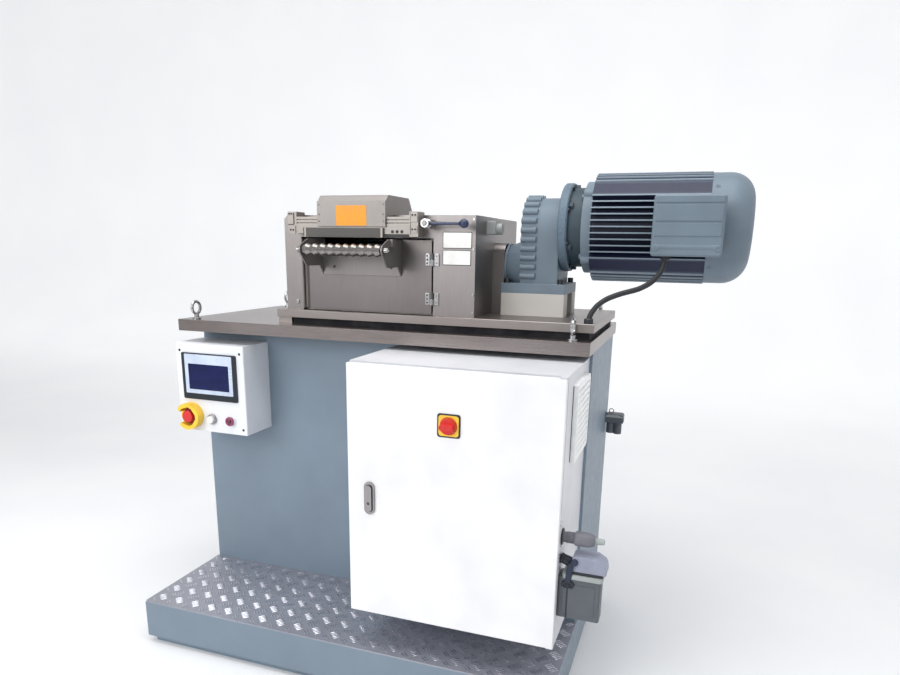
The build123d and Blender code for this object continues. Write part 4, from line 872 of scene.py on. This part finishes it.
def screen_parts():
    """The screen's pale frame, its dark display and a column of small keys."""
    low, high = span("screen_panel")
    thick = 0.6

    def field(left, right, top, bottom, face, depth, corner, soft):
        """A slab that leaves these margins inside the panel."""
        place = seat((low.x + left + high.x - right) / 2, face, (low.z + bottom + high.z - top) / 2)
        width, height = high.x - low.x - left - right, high.z - low.z - top - bottom
        shape = Shape()
        shape.slab(place, width, height, depth, corner, soft)
        return shape

    pale = field(12, 15, 4, 20, low.y, thick, 3, 0.3)
    pale.make("screen_frame", PALE_BLUE_PLASTIC, slot="white_plastic")
    dark = field(26, 29, 36, 34, low.y - thick, 0.5, 1.5, 0.2)
    dark.make("display", DISPLAY, slot="black_plastic")
    keys = Shape()
    for step in range(4):
        keys.slab(seat(high.x - 22, low.y - thick, high.z - 44 - 11 * step), 8, 6, 0.7, 1.5, 0.3)
    keys.make("screen_keys", PALE_GREY_PLASTIC, slot="grey_plastic")


def operator_details():
    """Screws in the box's cover, and the lamp's rim and lens."""
    low, high = span("operator_box")
    screws = Shape()
    for x in (low.x + 17, high.x - 15):
        for z in (high.z - 25, low.z + 18):
            screws.flat_screw(seat(x, BOX_FRONT, z), 4.5)
    screws.make("operator_screws", DARK_STEEL, slot="bright_steel")
    lamp, core = Shape(), Shape()
    place = seat(high.x - 61, low.y, low.z + 45.5)
    lamp.turned(place, [(16, 0), (16, 3), (14.5, 5.5), (10.5, 5.5), (9, 3.6), (0, 3.6)])
    core.turned(place, [(8, 3), (8, 6), (6, 7.6), (3, 8.2), (0, 8.3)], 28)
    lamp.make("lamp_rim", LAMP_LENS, slot="red_plastic")
    core.make("lamp_lens", LAMP_CORE, slot="red_plastic")


def stop_parts():
    """The emergency stop: a yellow guard open on its left, a deep orange well whose colour is painted
    shade inside the guard, and a red head.
    """
    low, high = span("stop_collar")
    centre = (low + high) / 2
    outer, proud = (high.x - low.x) / 2, high.y - low.y
    first, last, steps = -140, 155, 40
    angles = [math.radians(first + (last - first) * step / steps) for step in range(steps + 1)]
    rim = [(outer * math.cos(angle), outer * math.sin(angle)) for angle in angles]
    bore = [outer * (0.78 - 0.1 * abs(math.sin(2.5 * angle))) for angle in angles]
    inside = [(r * math.cos(angle), r * math.sin(angle)) for r, angle in zip(bore, angles)]
    guard = Shape()
    place = seat(centre.x, high.y, centre.z)
    guard.plate(place, rim + inside[::-1], proud, 5, 4)
    hole = 14
    foot = [(outer, 0), (outer, 3.5), (outer - 1.5, 5), (hole, 5), (hole, 0)]
    guard.turned(place, foot, 48, hollow=True)
    guard.make("stop_guard", YELLOW_PLASTIC, "frame", "yellow_plastic", ("stop_collar",))
    # Painted shade: the well inside the yellow guard is deep orange, for the shade there.
    well = Shape()
    dish = [(outer * 0.66, 4.6), (outer * 0.66, 8), (outer * 0.6, 9), (hole, 9), (hole, 4.6)]
    well.turned(place, dish, 40, hollow=True)
    well.make("stop_well_shade", DEEP_ORANGE_PLASTIC, slot="yellow_plastic")
    front = seat(centre.x, span("stop_button")[0].y + 7, centre.z)
    head, skirt = Shape(), Shape()
    crown = [(19, -14), (20, -6), (20, -3), (18.4, -0.8), (15, -0.1), (0, 0)]
    head.turned(front, crown, 40)
    head.make("stop_head", RED_PLASTIC, "stop_button", "red_plastic", ("stop_button",))
    stem = [(0, -25), (hole - 2, -25), (hole - 2, -17.5)]
    flare = stem + [(25.4, -17.5), (26, -16.9), (26, -15.6), (23.5, -12.5), (19.5, -11.5), (0, -11.5)]
    skirt.turned(front, flare, 40)
    skirt.make("stop_skirt", DARK_RED_PLASTIC, "stop_button", "red_plastic", ("stop_button",))


def button_parts():
    """The push button's chrome ring."""
    low, high = span("push_button")
    middle = (low + high) / 2
    ring = Shape()
    profile = [(17.6, 0), (17.6, 7), (16.4, 8.6), (13.6, 8.6), (12.8, 7.4), (12.8, 0)]
    ring.turned(seat(middle.x, BOX_FRONT, middle.z), profile, 40)
    ring.make("button_ring", LOCK_METAL, slot="bright_steel")


# Cabinet


def main_switch():
    """The main switch: a black base, a yellow field on it and a round collar."""
    low, high = span("switch_plate")
    middle = (low + high) / 2
    wide, tall = high.x - low.x, high.z - low.z
    black, yellow, rim = Shape(), Shape(), Shape()
    black.slab(seat(middle.x, high.y, middle.z), wide, tall, 2.6, 7, 0.6)
    black.make("switch_base", BLACK_PLASTIC, "cabinet_door", "black_plastic", ("switch_plate",))
    yellow.slab(seat(middle.x, high.y - 2.4, middle.z), wide - 8, tall - 8, 1.1, 8, 0.5)
    yellow.make("switch_field", YELLOW_PLASTIC, "cabinet_door", "yellow_plastic", ("switch_plate",))
    place = seat(middle.x, high.y - 3.2, middle.z)
    rim.turned(place, [(24.5, 0), (24.5, 0.5), (23.8, 0.8), (21.6, 0.8), (21.6, 0)], 40)
    rim.make("switch_rim", DEEP_ORANGE_PLASTIC, "cabinet_door", "yellow_plastic", ("switch_plate",))


def lock_parts():
    """The door lock: an oblong plate, a dark line, a swing handle and its keyhole."""
    low, high = span("door_lock")
    middle = (low + high) / 2
    wide, tall, proud = high.x - low.x, high.z - low.z, high.y - low.y
    half_way = high.y - proud * 0.5
    plate, line, handle, key = Shape(), Shape(), Shape(), Shape()
    plate.plate(seat(middle.x, high.y, middle.z), stadium(wide, tall), proud * 0.55, 1.6, 3)
    plate.make("lock_plate", LOCK_METAL, "cabinet_door", "bright_steel", ("door_lock",))
    line.plate(seat(middle.x + 0.6, half_way, middle.z), stadium(wide - 9, tall - 14), 1.0, 0.2)
    line.make("lock_line", DARK_STEEL, "cabinet_door", "black_plastic", ("door_lock",))
    grip = stadium(wide - 12, tall - 18)
    handle.plate(seat(middle.x - 0.6, half_way, middle.z), grip, proud * 0.46, 2.2, 4)
    handle.make("lock_handle", LOCK_METAL, "cabinet_door", "bright_steel", ("door_lock",))
    hole = [(4.2, 0), (4.2, 0.3), (3.4, 0.5), (1.2, 0.5), (1.0, 0.1), (0, 0.1)]
    key.turned(seat(middle.x - 1, low.y + 0.6, low.z + tall * 0.35), hole, 24)
    key.make("lock_keyhole", BLACK_PLASTIC, "cabinet_door", "black_plastic", ("door_lock",))


def small_plug_parts():
    """The round plug: a black flange, a ribbed nut, a larger grey grip and a pale tail."""
    low, high = span("side_plug")
    axis_y, axis_z = (low.y + high.y) / 2, (low.z + high.z) / 2
    place = seat(low.x, axis_y, axis_z, "right")
    black, grip, tail = Shape(), Shape(), Shape()
    black.turned(place, [(22.5, 0), (22.5, 2.6), (21, 4), (0, 4)], 40)
    black.make("plug_flange", BLACK_PLASTIC, slot="black_plastic", replaces=("side_plug",))
    nut = [(14, 3.5), (14, 12)]
    for ridge in range(5):
        nut += [(15.5, 13 + 4 * ridge), (15.5, 15 + 4 * ridge), (14, 16 + 4 * ridge)]
    nut += [(18.5, 36), (19.5, 38), (19.5, 70), (17, 80), (13, 87), (0, 87)]
    grip.turned(place, nut, 36)
    grip.make("plug_grip", PLUG_GREY, slot="grey_plastic", replaces=("side_plug",))
    tail.turned(place, [(8.5, 86), (8.5, 104), (7, 110), (5, 111.5), (0, 111.5)], 24)
    tail.make("plug_tail", BEIGE_PLASTIC, slot="grey_plastic", replaces=("side_plug",))


def power_connector_parts():
    """The heavy connector: housing, flange, gasket, hood, inlet, locking lever and pins."""
    low, high = span("power_connector")
    depth = 54
    left, front = low.x, high.y - 4 - depth
    centre_y = high.y - 4 - depth / 2
    node = ("power_connector",)
    body, flange, seal = Shape(), Shape(), Shape()
    body.slab(seat(left + 56, centre_y, low.z, "up"), 112, depth, 116, 7, 2.5)
    body.slab(seat(left + 56, front, low.z + 56), 84, 84, 1.4, 6, 0.8)
    body.make("power_housing", DARK_GREY_PLASTIC, slot="grey_plastic", replaces=node)
    flange.slab(seat(left + 63, centre_y, low.z + 114, "up"), 106, depth + 7, 13, 9, 2.5)
    flange.make("power_flange", BEIGE_PLASTIC, slot="grey_plastic", replaces=node)
    seal.slab(seat(left + 68, centre_y, low.z + 126, "up"), 96, depth - 2, 9, 6, 1)
    seal.make("power_gasket", BLACK_PLASTIC, slot="black_plastic", replaces=node)
    hood = Shape()
    outline = [(34, 0), (122, 0), (124, 6), (121, 24), (116, 32), (98, 43), (40, 43), (34, 38)]
    hood.plate(seat(left, high.y - 5, low.z + 134), outline, depth - 2, 3, 3)
    hood.make("power_hood", LAVENDER_PLASTIC, slot="grey_plastic", replaces=node)
    inlet = Shape()
    inlet.rod((left + 4, front + 18, high.z - 16), (left + 44, front + 22, high.z - 32), 13, 14, 1)
    inlet.rod((left + 1, front + 17, high.z - 15), (left + 7, front + 18, high.z - 17.5), 14.5, soft=1.2)
    inlet.make("power_inlet", DARK_STEEL, slot="grey_plastic", replaces=node)
    lever = Shape()
    strap = [(-8, 0), (8, 0), (13, 46), (20, 60), (6, 60), (-3, 46)]
    lever.plate(seat(left + 26, front, low.z + 104), strap, 5.5, 1.2, 2)
    lever.turned(seat(left + 41, front + 0.5, low.z + 162), [(9, 0), (9, 6), (7.5, 8), (0, 8)], 28)
    lever.make("power_lever", NAVY_PLASTIC, slot="black_plastic", replaces=node)
    pins = Shape()
    pin = [(9.5, 0), (9.5, 4.6), (8.2, 5.8), (5, 5.8), (4.4, 4), (0, 4)]
    for x in (left + 20, left + 34):
        pins.turned(seat(x, front, low.z + 97), pin, 28)
    pins.make("power_pins", DARK_STEEL, slot="grey_plastic", replaces=node)
    bar = Shape()
    bar.slab(seat(left + 27, front, low.z + 97), 15, 4, 6.6, 1.6, 0.6)
    bar.slab(seat(left + 26, front, low.z + 45), 4, 86, 2.2, 1.4, 0.5)
    bar.make("power_pin_bar", BLACK_PLASTIC, slot="black_plastic", replaces=node)


def rear_fitting_parts():
    """The fitting at the back: a pale rounded cap and a chrome ring."""
    low, high = span("rear_fitting")
    centre_x, centre_y = (low.x + high.x) / 2, (low.y + high.y) / 2
    cap = Shape()
    top = [(-31, 0), (31, 0), (31, 3), (22, 8), (12, 10.5), (-22, 10.5), (-31, 6)]
    cap.plate(seat(centre_x, high.y + 0.5, high.z - 11), top, high.y - low.y + 1, 2, 3)
    cap.make("fitting_cap", BEIGE_PLASTIC, slot="grey_plastic")
    ring_x, ring_z, ring_r, steps = low.x + 18, high.z + 9, 7.5, 28
    loop = Shape()
    for step in range(steps):
        ends = []
        for part in (0, 1.15):
            angle = math.radians(360 * (step + part) / steps)
            ends.append((ring_x + ring_r * math.cos(angle), centre_y, ring_z + ring_r * math.sin(angle)))
        loop.rod(*ends, 1.7, soft=0.1, steps=10)
    loop.make("fitting_ring", BRIGHT_STEEL, slot="bright_steel")


def cabinet_details():
    """Small screws on the cabinet's right side, and dark gaps between the vent's slats."""
    low, high = span("cabinet_body")
    screws = Shape()
    screw = [(3.4, 0), (3.2, 0.9), (2, 1.6), (0, 1.8)]
    for inset, rise in ((36, 354), (28, 346), (42, 292), (38, 285), (22, 268), (19, 260)):
        screws.turned(seat(high.x, low.y + inset, low.z + rise, "right"), screw, 18)
    screws.make("side_screws", BRIGHT_STEEL, slot="bright_steel")
    side = high.x
    low, high = span("vent_grille")
    pitch, slats = 17, 11
    dark = Shape()
    middle = seat(side, low.y - 2, (low.z + high.z) / 2, "right")
    dark.slab(middle, 3, high.z - low.z - 6, 1.4, 1, 0.3)
    for slat in range(slats):
        level = low.z + 25 + pitch * slat
        dark.slab(seat(low.x + 4, low.y + 24, level, "right"), 18, 6, 2.5, 1.5, 0.6)
    dark.make("vent_shadow_gaps", DARK_STEEL, slot="black_plastic")


# Camera, floor and light


def make_camera():
    """Looks at the machine from its front right, a little above the bed."""
    data = bpy.data.cameras.new("camera")
    camera = bpy.data.objects.new("camera", data)
    bpy.context.scene.collection.objects.link(camera)
    right = Vector((0.94206734, 0.33506729, 0.01546104))
    down = Vector((0.09553298, -0.22384265, -0.96993191))
    ahead = Vector((-0.32153162, 0.91521821, -0.24288482))
    eye = (0.9458, -2.0475, 1.3019)
    turn = Matrix((right, -down, -ahead)).transposed()
    camera.matrix_world = Matrix.Translation(eye) @ turn.to_4x4()
    data.sensor_width = 36.0
    data.lens = 27.53
    data.shift_y = 0.0911
    data.clip_start, data.clip_end = 0.05, 60.0
    bpy.context.scene.camera = camera


def make_floor():
    """A plain pale floor that curves up behind the machine."""
    shape = bmesh.new()
    near, flat_end, bend, top, half_width, steps = -9.0, 4.2, 1.8, 9.0, 16.0, 12
    profile = [(near, 0.0), (flat_end, 0.0)]
    for step in range(1, steps + 1):
        angle = math.radians(90 * step / steps)
        profile.append((flat_end + bend * math.sin(angle), bend - bend * math.cos(angle)))
    profile.append((flat_end + bend, top))
    rows = [[shape.verts.new((x, y, z)) for y, z in profile] for x in (-half_width, half_width)]
    for left, right, far_right, far_left in zip(rows[0], rows[1], rows[1][1:], rows[0][1:]):
        shape.faces.new((left, right, far_right, far_left))
    data = bpy.data.meshes.new("floor")
    shape.to_mesh(data)
    shape.free()
    data.shade_smooth()
    made, shader, where = tree_of("floor_grey")
    links = made.node_tree.links
    base = shades(made, noise(made, where, 1.5), [(0.3, (0.86, 0.86, 0.87)), (0.7, (0.9, 0.9, 0.9))])
    links.new(base, shader.inputs["Base Color"])
    shader.inputs["Roughness"].default_value = 0.7
    parts = made.node_tree.nodes.new("ShaderNodeSeparateXYZ")
    links.new(where, parts.inputs["Vector"])
    glow = spread(made, parts.outputs["Y"], 0.0, 0.26, 1.2, 5.0)
    shader.inputs["Emission Color"].default_value = (1.0, 1.0, 1.0, 1.0)
    links.new(glow, shader.inputs["Emission Strength"])
    data.materials.append(made)
    floor = bpy.data.objects.new("floor", data)
    bpy.context.scene.collection.objects.link(floor)


def area_light(name, place, target, size, power):
    """A soft rectangular light."""
    data = bpy.data.lights.new(name, "AREA")
    data.shape = "RECTANGLE"
    data.size, data.size_y = size
    data.energy = power
    light = bpy.data.objects.new(name, data)
    bpy.context.scene.collection.objects.link(light)
    light.location = place
    light.rotation_mode = "QUATERNION"
    aim = Vector(target) - Vector(place)
    light.rotation_quaternion = aim.to_track_quat("-Z", "Y")


def make_light():
    """A bright hall: a pale sky all round, and lights above, in front and at the right."""
    world = bpy.data.worlds.new("studio")
    bpy.context.scene.world = world
    world.use_nodes = True
    sky = world.node_tree.nodes["Background"]
    sky.inputs["Color"].default_value = (0.95, 0.97, 1.0, 1)
    sky.inputs["Strength"].default_value = 0.65
    area_light("overhead", (0.2, -0.6, 3.6), (0.0, 0.0, 0.8), (3.4, 2.2), 70)
    area_light("front", (-1.6, -3.6, 2.4), (0.0, 0.0, 0.8), (2.4, 1.8), 70)
    area_light("side", (3.4, -1.2, 2.2), (0.2, 0.0, 0.9), (1.6, 1.8), 6)


bpy.context.scene.view_settings.view_transform = "Standard"
finish_nodes()
tread_bars()
tread_screws()
worktop_edge_highlights()
lever_parts()
head_fastenings()
hinge_parts()
door_edge()
label_plates()
cover_label()
infeed_details()
strip_details()
rail_details()
terminal_lid()
motor_fastenings()
gear_fastenings()
screen_parts()
operator_details()
stop_parts()
button_parts()
main_switch()
lock_parts()
small_plug_parts()
power_connector_parts()
rear_fitting_parts()
cabinet_details()
make_camera()
make_floor()
make_light()
